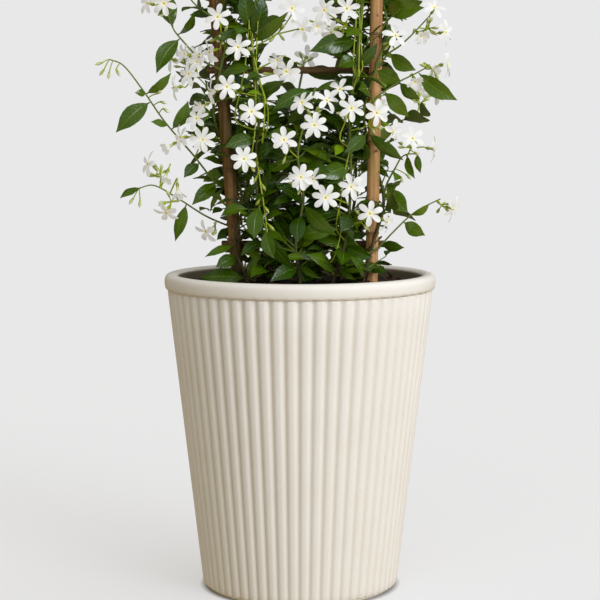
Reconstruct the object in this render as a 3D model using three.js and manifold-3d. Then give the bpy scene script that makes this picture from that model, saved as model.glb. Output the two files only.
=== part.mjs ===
// A star jasmine trained on a ladder of bamboo canes, growing in a tall ribbed pot.
// Millimetres, +Z up. The origin is the centre of the pot's flat foot, and -Y is the front.
import * as THREE from 'three';
import { mergeVertices } from 'three/addons/utils/BufferGeometryUtils.js';
import Module from 'manifold-3d';

const wasm = await Module();
wasm.setup();
const { Manifold, Mesh: SolidMesh } = wasm;

// Pot
const POT_HEIGHT = 292;
const RIM_RADIUS = 125;
const RIM_SIDES = 48;
const RIM_BAND = 13.5;
const RIM_WALL = 13.5;
const RIM_ROLL = [[1.8, 0], [0.3, 2.4], [0, 7.6], [1.9, 12], [5.8, 13.5]];
const LIP_INSET = 11.2;
const LIP_DROP = 1.4;
const LIP_CHAMFER = 3.6;
const BODY_IN_RIM = 3;
const RIB_COUNT = 60;
const COLUMNS_PER_RIB = 3;
const RIB_DEPTH_TOP = 2.7;
const RIB_DEPTH_FOOT = 2.1;
const RIB_TOP_RADIUS = 122.2;
const RIB_FOOT_RADIUS = 90.7;
const RIB_DOME = 5;
const FIRST_GROOVE_TURN = -0.0135;
const FOOT_HEIGHT = 3;
const FOOT_RADIUS = 86;
const WALL = 9.5;
const FLOOR = 11;
const DRAIN_RADIUS = 6;
const DRAIN_RING = 46;
const DRAIN_SIDES = 8;
const OVERRUN = 2;

// Soil and what is pushed into it
const SOIL_TOP = 281;
const SOIL_RELIEF = 1.5;
const SOIL_SIDES = 24;
const SOIL_RINGS = [1, 0.9, 0.6, 0.3];
const CLEAR = 0.3;
const CANE_FOOT = 90;
const ROOT_FOOT = 250;
const ROOT_HOLE = 3.1;

// Bamboo ladder
const CANE_TOP = 678;
const CANE_RADIUS = 5.75;
const CANE_SIDES = 7;
const JOINT_SWELL = 0.55;
const JOINT_HALF = 2.5;
const LEFT_CANE = { x: -57, lean: -4.43, joints: [322.8, 388.6, 449, 527, 602, 664] };
const RIGHT_CANE = { x: 66, lean: 0.84, joints: [313.5, 329, 413, 450.6, 510.6, 585, 655] };
const RUNG_HEIGHTS = { low: 318, middle: 478, top: 638 };
const RUNG_RADIUS = 3.35;
const RUNG_OVERHANG = 13;
const RUNG_SET_BACK = CANE_RADIUS + JOINT_SWELL + CLEAR + RUNG_RADIUS;
const TIE_RADIUS = 0.6;
const TIE_POINTS = 10;
const TIE_SLACK = 1.8;
const TIE_TILT = 0.8;

// Plant
const STEM_RADIUS = 1.6;
const SHOOT_RADIUS = 1.3;
const BRANCH_END = 0.98;
const BAR_STEP = 20;
const STALK_RADIUS = 0.8;
const STALK_NECK = 4;
const FORK_SHARE = 0.55;
const FORK_BOW = 2;
const FORK_SINK = 0.12;
const FORK_STEP = 0.05;
const TWINE_RADIUS = 10;
const TWINE_PITCH = 160;
const BLADE_THICK = 1.2;
const BLADE_CAMBER = 0.1;
const LEAF_NECK = 2.2;
const LEAF_NECK_HALF = 0.9;
const PETAL = {
  valley: 2.2, shortSide: 10.8, longSide: 12.3, halfWidth: 2.6, crown: 7.6, rise: 0.7, thick: 1.2,
};
const BLOOM_TUBE = 7.5;
const BUD_LENGTH = 7.5;
const BUD_RADIUS = 1.35;
const BUD_STALK = 0.65;
const BUD_NECK = 1.6;
const BUD_WIDEST = 0.6;
const BUD_REACH = 6;
const KEEP_CLEAR = 0.34;
const SEAT = 0.37;
const OWN_CROSSING = 0.3;

const vec = (x, y, z) => new THREE.Vector3(x, y, z);
const UP = vec(0, 0, 1);
const FRONT = vec(0, -1, 0);
const degrees = THREE.MathUtils.degToRad;

// Seeded draws: one linear congruential row of numbers from 0 to 1.
let drawState = 20251;
function draw() {
  drawState = (Math.imul(drawState, 1664525) + 1013904223) >>> 0;
  return drawState / 4294967296;
}
const between = (low, high) => low + (high - low) * draw();

// Turns a closed three.js geometry into a solid, without its seams and without triangles of no area.
function solidOf(geometry) {
  geometry.deleteAttribute('normal');
  geometry.deleteAttribute('uv');
  const merged = mergeVertices(geometry, 1e-4);
  const corners = merged.index.array;
  const kept = [];
  for (let i = 0; i < corners.length; i += 3) {
    const [a, b, c] = [corners[i], corners[i + 1], corners[i + 2]];
    if (a !== b && b !== c && c !== a) kept.push(a, b, c);
  }
  return solidFrom(merged.attributes.position.array, kept);
}

function solidFrom(places, corners) {
  const solid = new Manifold(new SolidMesh({
    numProp: 3, vertProperties: new Float32Array(places), triVerts: new Uint32Array(corners),
  }));
  if (solid.volume() > 0) return solid;
  const turned = Array.from(corners);
  for (let i = 0; i < turned.length; i += 3) [turned[i], turned[i + 1]] = [turned[i + 1], turned[i]];
  return new Manifold(new SolidMesh({
    numProp: 3, vertProperties: new Float32Array(places), triVerts: new Uint32Array(turned),
  }));
}

const join = (solids) => Manifold.union(solids);

// A named mesh of one closed body: the largest piece of the solid, without slivers.
function piece(name, solid, finish) {
  const bodies = solid.simplify(0.004).decompose();
  const body = bodies.reduce((a, b) => (a.volume() > b.volume() ? a : b));
  const { vertProperties, triVerts } = body.getMesh();
  const geometry = new THREE.BufferGeometry();
  geometry.setAttribute('position', new THREE.BufferAttribute(new Float32Array(vertProperties), 3));
  geometry.setIndex(new THREE.BufferAttribute(new Uint32Array(triVerts), 1));
  geometry.computeVertexNormals();
  const mesh = new THREE.Mesh(geometry, finish);
  mesh.name = name;
  return mesh;
}

// A body turned about +Z from [radius, height] points that start and end on the axis.
function turned(profile, sides) {
  const lathe = new THREE.LatheGeometry(profile.map(([r, h]) => new THREE.Vector2(r, h)), sides);
  return lathe.rotateX(Math.PI / 2);
}

// A round bar of few sides along a curve.
function bar(curve, radius, sides, steps) {
  const corner = (k) => new THREE.Vector2(
    radius * Math.cos((2 * Math.PI * k) / sides), radius * Math.sin((2 * Math.PI * k) / sides));
  const section = new THREE.Shape(Array.from({ length: sides }, (_, k) => corner(k)));
  return solidOf(new THREE.ExtrudeGeometry(section, { steps, bevelEnabled: false, extrudePath: curve }));
}

// Three corners round a point, in the plane of two given ways.
const around3 = (point, side, over, radius) => [0, 1, 2].map((k) => point.clone()
  .addScaledVector(side, radius * Math.cos((2 * Math.PI * k) / 3))
  .addScaledVector(over, radius * Math.sin((2 * Math.PI * k) / 3)).toArray());

const curveThrough = (points) => new THREE.CatmullRomCurve3(points, false, 'catmullrom', 0.5);

// Finishes
const finish = (color, roughness, metalness = 0) =>
  new THREE.MeshStandardMaterial({ color, roughness, metalness });
const glaze = finish('#ddd6c8', 0.35);
const earth = finish('#2b1f17', 0.95);
const bamboo = finish('#a9784a', 0.5);
const rungWood = finish('#7d4b2c', 0.6);
const wire = finish('#5c6136', 0.6);
const leafGreen = finish('#27501a', 0.35);
const petalWhite = finish('#f4f3ee', 0.6);

// The pot: ribs run from the foot to just under the rim, where each ends in a small dome.
function ribDepthAt(angle) {
  const share = (((angle / (2 * Math.PI)) * RIB_COUNT) % 1 + 1) % 1;
  return Math.min(1, Math.abs(1 - 2 * share) ** 2);
}

function ribbedBody() {
  const rimUnder = POT_HEIGHT - RIM_BAND;
  const domeFoot = rimUnder - RIB_DOME;
  const profile = [[0, FOOT_HEIGHT], [RIB_FOOT_RADIUS, FOOT_HEIGHT], [RIB_TOP_RADIUS, domeFoot],
    [RIB_TOP_RADIUS, rimUnder + BODY_IN_RIM], [0, rimUnder + BODY_IN_RIM]];
  const body = turned(profile, RIB_COUNT * COLUMNS_PER_RIB);
  const place = body.attributes.position;
  for (let i = 0; i < place.count; i += 1) {
    const [x, y, z] = [place.getX(i), place.getY(i), place.getZ(i)];
    const radius = Math.hypot(x, y);
    if (radius < 1) continue;
    const turn = Math.atan2(x, -y) - FIRST_GROOVE_TURN;
    const depth = THREE.MathUtils.lerp(RIB_DEPTH_FOOT, RIB_DEPTH_TOP, z / POT_HEIGHT);
    const cut = z > rimUnder ? depth : depth * ribDepthAt(turn);
    place.setXY(i, (x * (radius - cut)) / radius, (y * (radius - cut)) / radius);
  }
  return solidOf(body);
}

const INNER_TOP = POT_HEIGHT - LIP_DROP - LIP_CHAMFER;
const innerRadius = (z) => THREE.MathUtils.mapLinear(
  z, FLOOR, INNER_TOP, RIB_FOOT_RADIUS - WALL, RIM_RADIUS - RIM_WALL);

function pot() {
  const under = POT_HEIGHT - RIM_BAND;
  const lip = [RIM_RADIUS - LIP_INSET, POT_HEIGHT - LIP_DROP];
  const roll = RIM_ROLL.map(([inset, rise]) => [RIM_RADIUS - inset, under + rise]);
  const rim = solidOf(turned([[0, under], ...roll, lip, [0, lip[1]]], RIM_SIDES));
  const foot = solidOf(turned([[0, 0], [FOOT_RADIUS, 0], [FOOT_RADIUS, FOOT_HEIGHT + OVERRUN],
    [0, FOOT_HEIGHT + OVERRUN]], RIM_SIDES));
  const hollow = solidOf(turned([[0, FLOOR], [innerRadius(FLOOR), FLOOR], [innerRadius(INNER_TOP), INNER_TOP],
    lip, [lip[0], POT_HEIGHT + OVERRUN], [0, POT_HEIGHT + OVERRUN]], RIM_SIDES));
  const drains = [0, 1, 2].map((k) => {
    const drain = turned([[0, -OVERRUN], [DRAIN_RADIUS, -OVERRUN], [DRAIN_RADIUS, FLOOR + OVERRUN],
      [0, FLOOR + OVERRUN]], DRAIN_SIDES);
    const turn = degrees(90 + 120 * k);
    return solidOf(drain.translate(DRAIN_RING * Math.cos(turn), DRAIN_RING * Math.sin(turn), 0));
  });
  return join([ribbedBody(), rim, foot]).subtract(join([hollow, ...drains]));
}

// The canes: round bars with a swollen ring at each joint of the bamboo.
function cane({ x, lean, joints }) {
  const profile = [[0, CANE_FOOT], [CANE_RADIUS, CANE_FOOT]];
  for (const z of joints) {
    profile.push([CANE_RADIUS, z - JOINT_HALF], [CANE_RADIUS + JOINT_SWELL, z]);
    profile.push([CANE_RADIUS, z + JOINT_HALF]);
  }
  profile.push([CANE_RADIUS, CANE_TOP], [0, CANE_TOP]);
  return solidOf(turned(profile, CANE_SIDES).translate(0, 0, -SOIL_TOP).rotateY(degrees(lean))
    .translate(x, 0, SOIL_TOP));
}

const caneX = ({ x, lean }, z) => x + (z - SOIL_TOP) * Math.tan(degrees(lean));

function rung(z) {
  const from = caneX(LEFT_CANE, z) - RUNG_OVERHANG;
  const to = caneX(RIGHT_CANE, z) + RUNG_OVERHANG;
  const profile = [[0, from], [RUNG_RADIUS, from], [RUNG_RADIUS, to], [0, to]];
  return solidOf(turned(profile, CANE_SIDES).rotateY(Math.PI / 2).translate(0, RUNG_SET_BACK, z));
}

// A wire loop that holds a rung to a cane: a tilted ring, over the rung on one side and under it beyond.
function tie(side, z) {
  const around = CANE_RADIUS + JOINT_SWELL + CLEAR + TIE_RADIUS;
  const back = RUNG_SET_BACK + RUNG_RADIUS + CLEAR + 2 * TIE_RADIUS;
  const middle = (back - around) / 2;
  const points = Array.from({ length: TIE_POINTS }, (_, k) => {
    const turn = (2 * Math.PI * k) / TIE_POINTS;
    const across = (around + TIE_SLACK) * Math.cos(turn);
    const deep = middle + ((back + around) / 2) * Math.sin(turn);
    return vec(caneX(side, z) + across, deep, z + TIE_TILT * across);
  });
  const loop = new THREE.CatmullRomCurve3(points, true, 'catmullrom', 0.5);
  const places = points.flatMap((point, k) => {
    const tangent = loop.getTangent(k / points.length);
    const out = UP.clone().cross(tangent).normalize();
    return around3(point, out, tangent.clone().cross(out), TIE_RADIUS).flat();
  });
  const corners = points.flatMap((_, k) => [0, 1, 2].flatMap((j) => {
    const [a, b] = [3 * k + j, 3 * k + ((j + 1) % 3)];
    const [c, d] = [a, b].map((i) => (i + 3) % (3 * points.length));
    return [a, b, c, b, d, c];
  }));
  return solidFrom(places, corners);
}

// Where the stems climb: control points from the root in the soil upwards.
const STEMS = {
  left_front: [[-26, -12, 250], [-26, -12, 284], [-33, -15, 322], [-39, -14, 362], [-40, -13, 402],
    [-37, -14, 442], [-42, -14, 482], [-46, -15, 522], [-51, -12, 562], [-58, -9, 602], [-64, -7, 642]],
  left_back: [[-34, 15, 250], [-34, 15, 284], [-44, 18, 326], [-48, 19, 366], [-46, 21, 406],
    [-42, 20, 446], [-44, 22, 486], [-50, 22, 526], [-56, 20, 566], [-60, 19, 606]],
  middle_front: [[0, -20, 250], [0, -20, 284], [-4, -24, 322], [3, -22, 362], [-2, -20, 402],
    [6, -19, 436], [14, -20, 462]],
  middle_back: [[14, 16, 250], [14, 16, 284], [8, 21, 322], [0, 24, 362], [6, 22, 402], [-2, 21, 446],
    [3, 22, 482]],
  right_front: [[30, -14, 250], [30, -14, 284], [38, -17, 306], [44, -17, 340], [46, -15, 372],
    [46, -15, 402], [45, -16, 438], [50, -15, 478], [54, -15, 518], [57, -12, 558], [60, -9, 598],
    [62, -8, 638]],
  right_back: [[36, 13, 250], [36, 13, 284], [44, 19, 324], [52, 20, 366], [50, 21, 406],
    [46, 20, 446], [52, 22, 486], [56, 21, 526], [60, 18, 566], [62, 17, 606]],
};

// Two stems twine: a right-handed helix round a cane, in front of it at every rung.
function twiner(root, side) {
  const points = [vec(...root, ROOT_FOOT), vec(...root, 284)];
  for (let quarter = 0; quarter <= 8; quarter += 1) {
    const z = RUNG_HEIGHTS.low + (quarter * TWINE_PITCH) / 4;
    const turn = (quarter * Math.PI) / 2;
    points.push(vec(caneX(side, z) + TWINE_RADIUS * Math.sin(turn), -TWINE_RADIUS * Math.cos(turn), z));
  }
  return points;
}

// Side shoots: the stem or shoot that each leaves, the control point it leaves at, and its way from there.
const SHOOTS = {
  upper_left: ['left_twiner', 6, [-91, -14, 488], [-108, -18, 506], [-114, -20, 514], [-119, -22, 526]],
  top_left: ['left_twiner', 7, [-72, -12, 523], [-84, -14, 528], [-98, -16, 540], [-106, -18, 556]],
  long_left: ['left_back', 3, [-74, 7, 372], [-98, -6, 401], [-123, -14, 431], [-142, -18, 459],
    [-159, -20, 481], [-172, -20, 487]],
  low_left: ['left_back', 2, [-60, 15, 332], [-86, 0, 344], [-110, -10, 360], [-132, -18, 373],
    [-146, -22, 371]],
  hanging: ['left_front', 3, [-38, -26, 363], [-36, -36, 351], [-30, -40, 332]],
  upper_right: ['right_twiner', 6, [80, -11, 492], [90, -13, 499], [102, -16, 510], [117, -18, 526]],
  long_right: ['right_front', 6, [55, -17, 441], [72, -14, 455], [90, -14, 467], [102, -16, 473],
    [115, -19, 480]],
  short_right: ['right_front', 5, [54, -19, 414], [61, -18, 421]],
  middle_right: ['right_twiner', 3, [79, -3, 372], [87, -4, 388], [95, -5, 400], [109, -8, 402]],
  low_right: ['right_front', 2, [56, -18, 309], [71, -15, 316], [84, -12, 329], [98, -14, 343],
    [110, -16, 352], [128, -18, 361]],
  back_left: ['left_back', 5, [-58, 34, 458], [-84, 42, 470], [-108, 46, 474]],
  back_right: ['right_back', 4, [66, 34, 416], [90, 42, 430], [112, 44, 436]],
  back_low: ['middle_back', 3, [-16, 38, 372], [-34, 52, 376], [-50, 62, 368]],
  top_right: ['right_back', 7, [72, 14, 540], [92, 8, 556], [110, 6, 566]],
  back_top: ['left_back', 7, [-66, 30, 540], [-92, 34, 556], [-112, 34, 560]],
};

const branches = {};
for (const [name, points] of Object.entries(STEMS)) {
  branches[name] = { stem: name, radius: STEM_RADIUS, points: points.map((p) => vec(...p)) };
}
branches.left_twiner = { stem: 'left_twiner', radius: STEM_RADIUS, points: twiner([-48, -15], LEFT_CANE) };
branches.right_twiner = { stem: 'right_twiner', radius: STEM_RADIUS, points: twiner([58, -14], RIGHT_CANE) };
for (const [name, [parent, knot, ...way]] of Object.entries(SHOOTS)) {
  const points = [branches[parent].points[knot], ...way.map((p) => vec(...p))];
  branches[name] = { stem: branches[parent].stem, radius: SHOOT_RADIUS, points };
}
for (const branch of Object.values(branches)) {
  branch.curve = curveThrough(branch.points);
  branch.last = branch.points.length - 1;
  const steps = Math.round(branch.curve.getLength() / BAR_STEP);
  branch.solid = bar(branch.curve, branch.radius, 3, steps);
  branch.spine = branch.curve.getSpacedPoints(steps);
}

// The place nearest to a point on the straight stretches that a branch's bar is made of.
function onSpine({ spine }, point) {
  const near = spine.slice(1).map((end, k) => new THREE.Line3(spine[k], end)
    .closestPointToPoint(point, true, vec(0, 0, 0)));
  return near.reduce((a, b) => (a.distanceTo(point) < b.distanceTo(point) ? a : b));
}

// A place on a branch, by control point number, with the direction of growth there.
function station(name, knot) {
  const { curve, last, radius } = branches[name];
  const share = Math.min(BRANCH_END, knot / last);
  const at = onSpine(branches[name], curve.getPoint(share));
  return { at, along: curve.getTangent(share), radius };
}

// A skin over rings of corners. The last ring may be a single point, and the first may stay open.
function skin(rings, openStart = false) {
  const starts = rings.map((_, k) => rings.slice(0, k).reduce((sum, ring) => sum + ring.length, 0));
  const corners = [];
  for (let j = 2; j < rings[0].length && !openStart; j += 1) corners.push(0, j, j - 1);
  for (let k = 0; k + 1 < rings.length; k += 1) {
    const [from, to] = [rings[k].length, rings[k + 1].length];
    for (let i = from === 1 ? 1 : 0, j = 0; i < from || (j < to && to > 1);) {
      const [a, b] = [starts[k] + (i % from), starts[k + 1] + (j % to)];
      if (to === 1 || j >= to || (i < from && (i + 0.5) / from <= (j + 0.5) / to)) {
        i += 1;
        corners.push(a, starts[k] + (i % from), b);
      } else {
        j += 1;
        corners.push(a, starts[k + 1] + (j % to), b);
      }
    }
  }
  const last = starts[starts.length - 1];
  for (let j = 2; j < rings[rings.length - 1].length; j += 1) corners.push(last, last + j - 1, last + j);
  return { places: rings.flat(2), corners };
}

// Rings of corners down a bent line, each turned on from the one before without a twist.
function ringsDown(points, offsets, firstWay, lastWay) {
  let [carried, wayBefore] = [offsets, firstWay];
  return points.map((point, k) => {
    const from = points[Math.max(0, k - 1)];
    const way = k + 1 < points.length ? points[k + 1].clone().sub(from) : lastWay.clone();
    const turn = new THREE.Quaternion().setFromUnitVectors(wayBefore, way.normalize());
    carried = carried.map((offset) => offset.clone().applyQuaternion(turn));
    wayBefore = way;
    return carried.map((offset) => point.clone().add(offset).toArray());
  });
}

// The leaf blade: half its width at a share of its length, widest below the middle, with a drawn-out tip.
const bladeHalfWidth = (s) => Math.sin(Math.PI * s ** 0.85) ** 0.8 * (1 - 0.35 * s ** 5);
const BLADE_STATIONS = [0.34, 0.7];

function blade({ root, tip, face, width }) {
  const span = tip.clone().sub(root);
  const long = span.clone().normalize();
  const up = face.clone().addScaledVector(long, -face.dot(long)).normalize();
  const side = long.clone().cross(up);
  const camber = BLADE_CAMBER * span.length();
  const ringAt = (s, half, thick) => {
    const spine = root.clone().addScaledVector(span, s).addScaledVector(up, camber * Math.sin(Math.PI * s));
    return [[half, -thick / 2], [0, thick / 2], [-half, -thick / 2]]
      .map(([a, b]) => spine.clone().addScaledVector(side, a).addScaledVector(up, b).toArray());
  };
  const neck = ringAt(LEAF_NECK / span.length(), LEAF_NECK_HALF, BLADE_THICK);
  const rings = BLADE_STATIONS.map((s) => ringAt(s, (width / 2) * bladeHalfWidth(s), BLADE_THICK));
  const { places, corners } = skin([[root.toArray()], neck, ...rings, [tip.toArray()]]);
  return solidFrom(places, corners);
}

// The bloom: petals in one ring round a throat, a tube behind it, and its stalk down to the foot.
function bloom({ centre, axis, petals, spin, stalk, footWay, forks }) {
  const level = (Math.abs(axis.z) < 0.9 ? UP : FRONT).clone().cross(axis).normalize();
  const over = axis.clone().cross(level);
  const aside = (turn, radius, shift) => level.clone()
    .multiplyScalar(radius * Math.cos(turn) - shift * Math.sin(turn))
    .addScaledVector(over, radius * Math.sin(turn) + shift * Math.cos(turn));
  const spot = (turn, radius, shift, height) =>
    centre.clone().add(aside(turn, radius, shift)).addScaledVector(axis, height).toArray();
  const first = spin - Math.PI / petals;
  const valleys = Array.from({ length: petals }, (_, k) =>
    spot(first + (2 * Math.PI * k) / petals, PETAL.valley, 0, -PETAL.thick));
  const neck = [0, 1, 2].map((k) => aside(first + (2 * Math.PI * k) / 3, STALK_RADIUS, 0));
  const tubeEnd = centre.clone().addScaledVector(axis, -BLOOM_TUBE);
  const rows = ringsDown([tubeEnd, ...stalk], neck, axis.clone().negate(), footWay);
  if (forks) rows[rows.length - 1] = [stalk[stalk.length - 1].toArray()];
  const { places, corners } = skin([valleys, ...rows], true);
  const throat = places.length / 3;
  places.push(...spot(0, 0, 0, 0));
  for (let k = 0; k < petals; k += 1) {
    const turn = spin + (2 * Math.PI * k) / petals;
    const left = places.length / 3;
    places.push(...spot(turn, PETAL.shortSide, -PETAL.halfWidth, 0),
      ...spot(turn, PETAL.longSide, PETAL.halfWidth, 0), ...spot(turn, PETAL.crown, 0, PETAL.rise));
    const [right, top, valley, next] = [left + 1, left + 2, k, (k + 1) % petals];
    corners.push(left, valley, top, valley, throat, top, throat, next, top, next, right, top,
      right, left, top, right, next, left, next, valley, left);
  }
  return solidFrom(places, corners);
}

// A closed bud on its own stalk: a slim three-sided spindle.
function bud(root, way, stalkLength) {
  const side = (Math.abs(way.z) < 0.9 ? UP : FRONT).clone().cross(way).normalize();
  const over = way.clone().cross(side);
  const ring = (reach, radius) => around3(root.clone().addScaledVector(way, reach), side, over, radius);
  const end = root.clone().addScaledVector(way, stalkLength + BUD_LENGTH).toArray();
  const { places, corners } = skin([[root.toArray()], ring(BUD_NECK, BUD_STALK),
    ring(stalkLength + BUD_WIDEST * BUD_LENGTH, BUD_RADIUS), [end]]);
  return solidFrom(places, corners);
}

// Everything already placed, with its box, so that new growth can be kept clear of it.
const placed = [];
function remember(node, solid, soft) {
  const { min, max } = solid.boundingBox();
  placed.push({ node, solid, soft, min, max });
}

const boxesMeet = (a, b) => [0, 1, 2].every(
  (k) => a.min[k] < b.max[k] + KEEP_CLEAR && a.max[k] > b.min[k] - KEEP_CLEAR);

// Growth is clear if it stays off every other node, and doesn't run through the leaves of its own.
function isClear(node, solid) {
  const box = solid.boundingBox();
  return placed.every((other) => {
    if (!boxesMeet(box, other)) return true;
    if (other.node !== node) return solid.minGap(other.solid, 1) > KEEP_CLEAR;
    return !other.soft || solid.intersect(other.solid).volume() < OWN_CROSSING;
  });
}

// The two canes and the open light above the second rung stay in view from the front.
const CANE_VIEW = 9;
const OPEN_LIGHT = new THREE.Box3(vec(-22, -70, 462), vec(36, 4, 530));
function hidesTheLadder(point) {
  if (OPEN_LIGHT.containsPoint(point)) return true;
  return point.y < -CANE_RADIUS
    && [LEFT_CANE, RIGHT_CANE].some((side) => Math.abs(point.x - caneX(side, point.z)) < CANE_VIEW);
}

// Leaves that the front view shows: branch, control point, tip, width, and roll away from the viewer.
const SHOWN_LEAVES = [
  ['upper_left', 3, [-123, -4, 549], 17, 10], ['upper_left', 2.2, [-95, -22, 530], 13, 60],
  ['upper_left', 2, [-129, -30, 474], 16, 15], ['long_left', 3.9, [-149, -24, 457], 7, 20],
  ['long_left', 3.85, [-116, -24, 475], 11, 40], ['long_left', 3.6, [-166, -30, 421], 17, 10],
  ['long_left', 2.9, [-135, -22, 431], 8, 35], ['long_left', 2.8, [-101, -22, 450], 13, 30],
  ['left_twiner', 5, [-105, -30, 439], 16, 15], ['low_left', 4.8, [-163, -30, 362], 9, 45],
  ['low_left', 2.7, [-114, -18, 322], 13, 30], ['long_left', 1.1, [-99, -14, 355], 14, 20],
  ['long_left', 0.9, [-82, -16, 349], 8, 50], ['left_twiner', 2, [-87, -20, 308], 9, 40],
  ['left_twiner', 1.8, [-77, -26, 299], 13, 20], ['low_left', 1.1, [-77, 2, 322], 10, 30],
  ['long_left', 1.7, [-106, -14, 380], 11, 20], ['upper_right', 1.1, [105, -20, 477], 14, 20],
  ['right_twiner', 7.4, [112, -22, 533], 18, 15], ['right_twiner', 6.5, [82, 0, 520], 10, 40],
  ['long_right', 4.4, [142, -28, 450], 16, 10], ['long_right', 3, [109, -22, 451], 11, 25],
  ['long_right', 2.2, [99, -18, 435], 14, 20], ['right_twiner', 6, [92, -6, 468], 15, 20],
  ['right_front', 7, [70, -20, 502], 11, 20], ['short_right', 2, [94, -26, 396], 12, 20],
  ['short_right', 1.8, [40, -34, 403], 13, 15], ['middle_right', 3.2, [105, -12, 379], 9, 40],
  ['middle_right', 3.8, [110, -14, 384], 7, 20], ['middle_right', 0.9, [99, -10, 348], 17, 10],
  ['middle_right', 1, [94, -4, 378], 9, 55], ['low_right', 4.3, [118, -20, 357], 8, 30],
  ['low_right', 3.8, [114, -24, 328], 13, 15], ['low_right', 2.2, [95, -26, 317], 11, 20],
  ['right_front', 2.4, [66, -28, 308], 15, 15], ['left_front', 6.8, [-49, -26, 552], 16, 10],
  ['left_front', 6.6, [-34, -18, 547], 15, 20], ['left_front', 6.5, [-10, -22, 529], 11, 20],
  ['right_front', 7.6, [8, -32, 493], 19, 15], ['right_front', 7.2, [34, -22, 480], 13, 20],
  ['middle_front', 6, [-25, -34, 441], 15, 20], ['left_front', 4.4, [-68, -28, 408], 15, 15],
  ['left_front', 6.7, [-79, -26, 505], 11, 20], ['hanging', 1.7, [-41, -46, 326], 16, 5],
  ['hanging', 2.9, [-23, -46, 308], 13, 10], ['hanging', 3, [-6, -48, 299], 14, 30],
  ['right_front', 3.2, [37, -36, 332], 14, 0], ['right_front', 1.6, [51, -32, 288], 7, 20],
  ['middle_front', 1.5, [20, -34, 289], 7, 20], ['right_front', 4.4, [14, -30, 380], 15, 20],
  ['middle_front', 2.6, [-2, -40, 322], 15, 10], ['middle_front', 2.9, [34, -36, 328], 14, 20],
  ['left_front', 4.3, [-9, -28, 397], 13, 15], ['left_front', 5.4, [-14, -26, 468], 11, 20],
];
const DEPTH_SHIFTS = [0, -4, 4, -8, 8, -12, 12, 16];

function shownLeafTries([branch, knot, tip, width, roll]) {
  const { at } = station(branch, knot);
  return DEPTH_SHIFTS.map((shift) => {
    const end = vec(tip[0], tip[1] + shift, tip[2]);
    const long = end.clone().sub(at).normalize();
    const face = FRONT.clone().addScaledVector(long, -FRONT.dot(long)).normalize();
    const turnedFace = face.clone().multiplyScalar(Math.cos(degrees(roll)))
      .addScaledVector(long.clone().cross(face), Math.sin(degrees(roll)));
    return { root: at, tip: end, face: turnedFace, width };
  });
}

// The other leaves grow in crosswise pairs: branch, first and last control point, number of pairs.
const LEAF_PAIRS = [
  ['left_front', 1.3, 9.8, 10], ['left_back', 1.4, 8.8, 9], ['middle_front', 1.4, 5.9, 7],
  ['middle_back', 1.4, 5.9, 7], ['right_front', 1.4, 10.8, 10], ['right_back', 1.4, 8.8, 9],
  ['left_twiner', 1.4, 9.8, 7], ['right_twiner', 1.4, 9.8, 7], ['top_left', 2, 4, 2],
  ['back_left', 1.2, 3, 3], ['back_right', 1.2, 3, 3], ['back_low', 1.2, 3, 2], ['top_right', 1.2, 3, 3],
  ['back_top', 1.2, 3, 3],
];
const LEAF_SWINGS = [0, 35, -35, 70, -70, 110, -110, 150, -150, 180];
const SMALL_LEAF = 0.72;
const PLANT_HALF_WIDTH = 140;
const PLANT_HALF_DEPTH = 45;
const LEAF_LIFT = 0.55;

function pairedLeafTries(branch, knot, azimuth) {
  const { at, along } = station(branch, knot);
  const [rise, length, slimness, tiltX, tiltY] = [
    between(-22, 34), between(33, 44), between(0.37, 0.46), between(-0.3, 0.3), between(-0.3, 0.3)];
  return [1, SMALL_LEAF].flatMap((scale) => LEAF_SWINGS.map((swing) => {
    const turn = degrees(azimuth + swing);
    const level = vec(Math.cos(turn), Math.sin(turn), 0);
    const outward = level.addScaledVector(along, -level.dot(along)).normalize();
    const way = outward.multiplyScalar(Math.cos(degrees(rise)))
      .addScaledVector(along, Math.sin(degrees(rise)));
    const tip = at.clone().addScaledVector(way, length * scale);
    const open = vec(tip.x / PLANT_HALF_WIDTH, tip.y / PLANT_HALF_DEPTH, 0).normalize();
    const face = vec(open.x + tiltX, open.y + tiltY, LEAF_LIFT);
    return { root: at, tip, face, width: length * scale * slimness };
  }));
}

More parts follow.
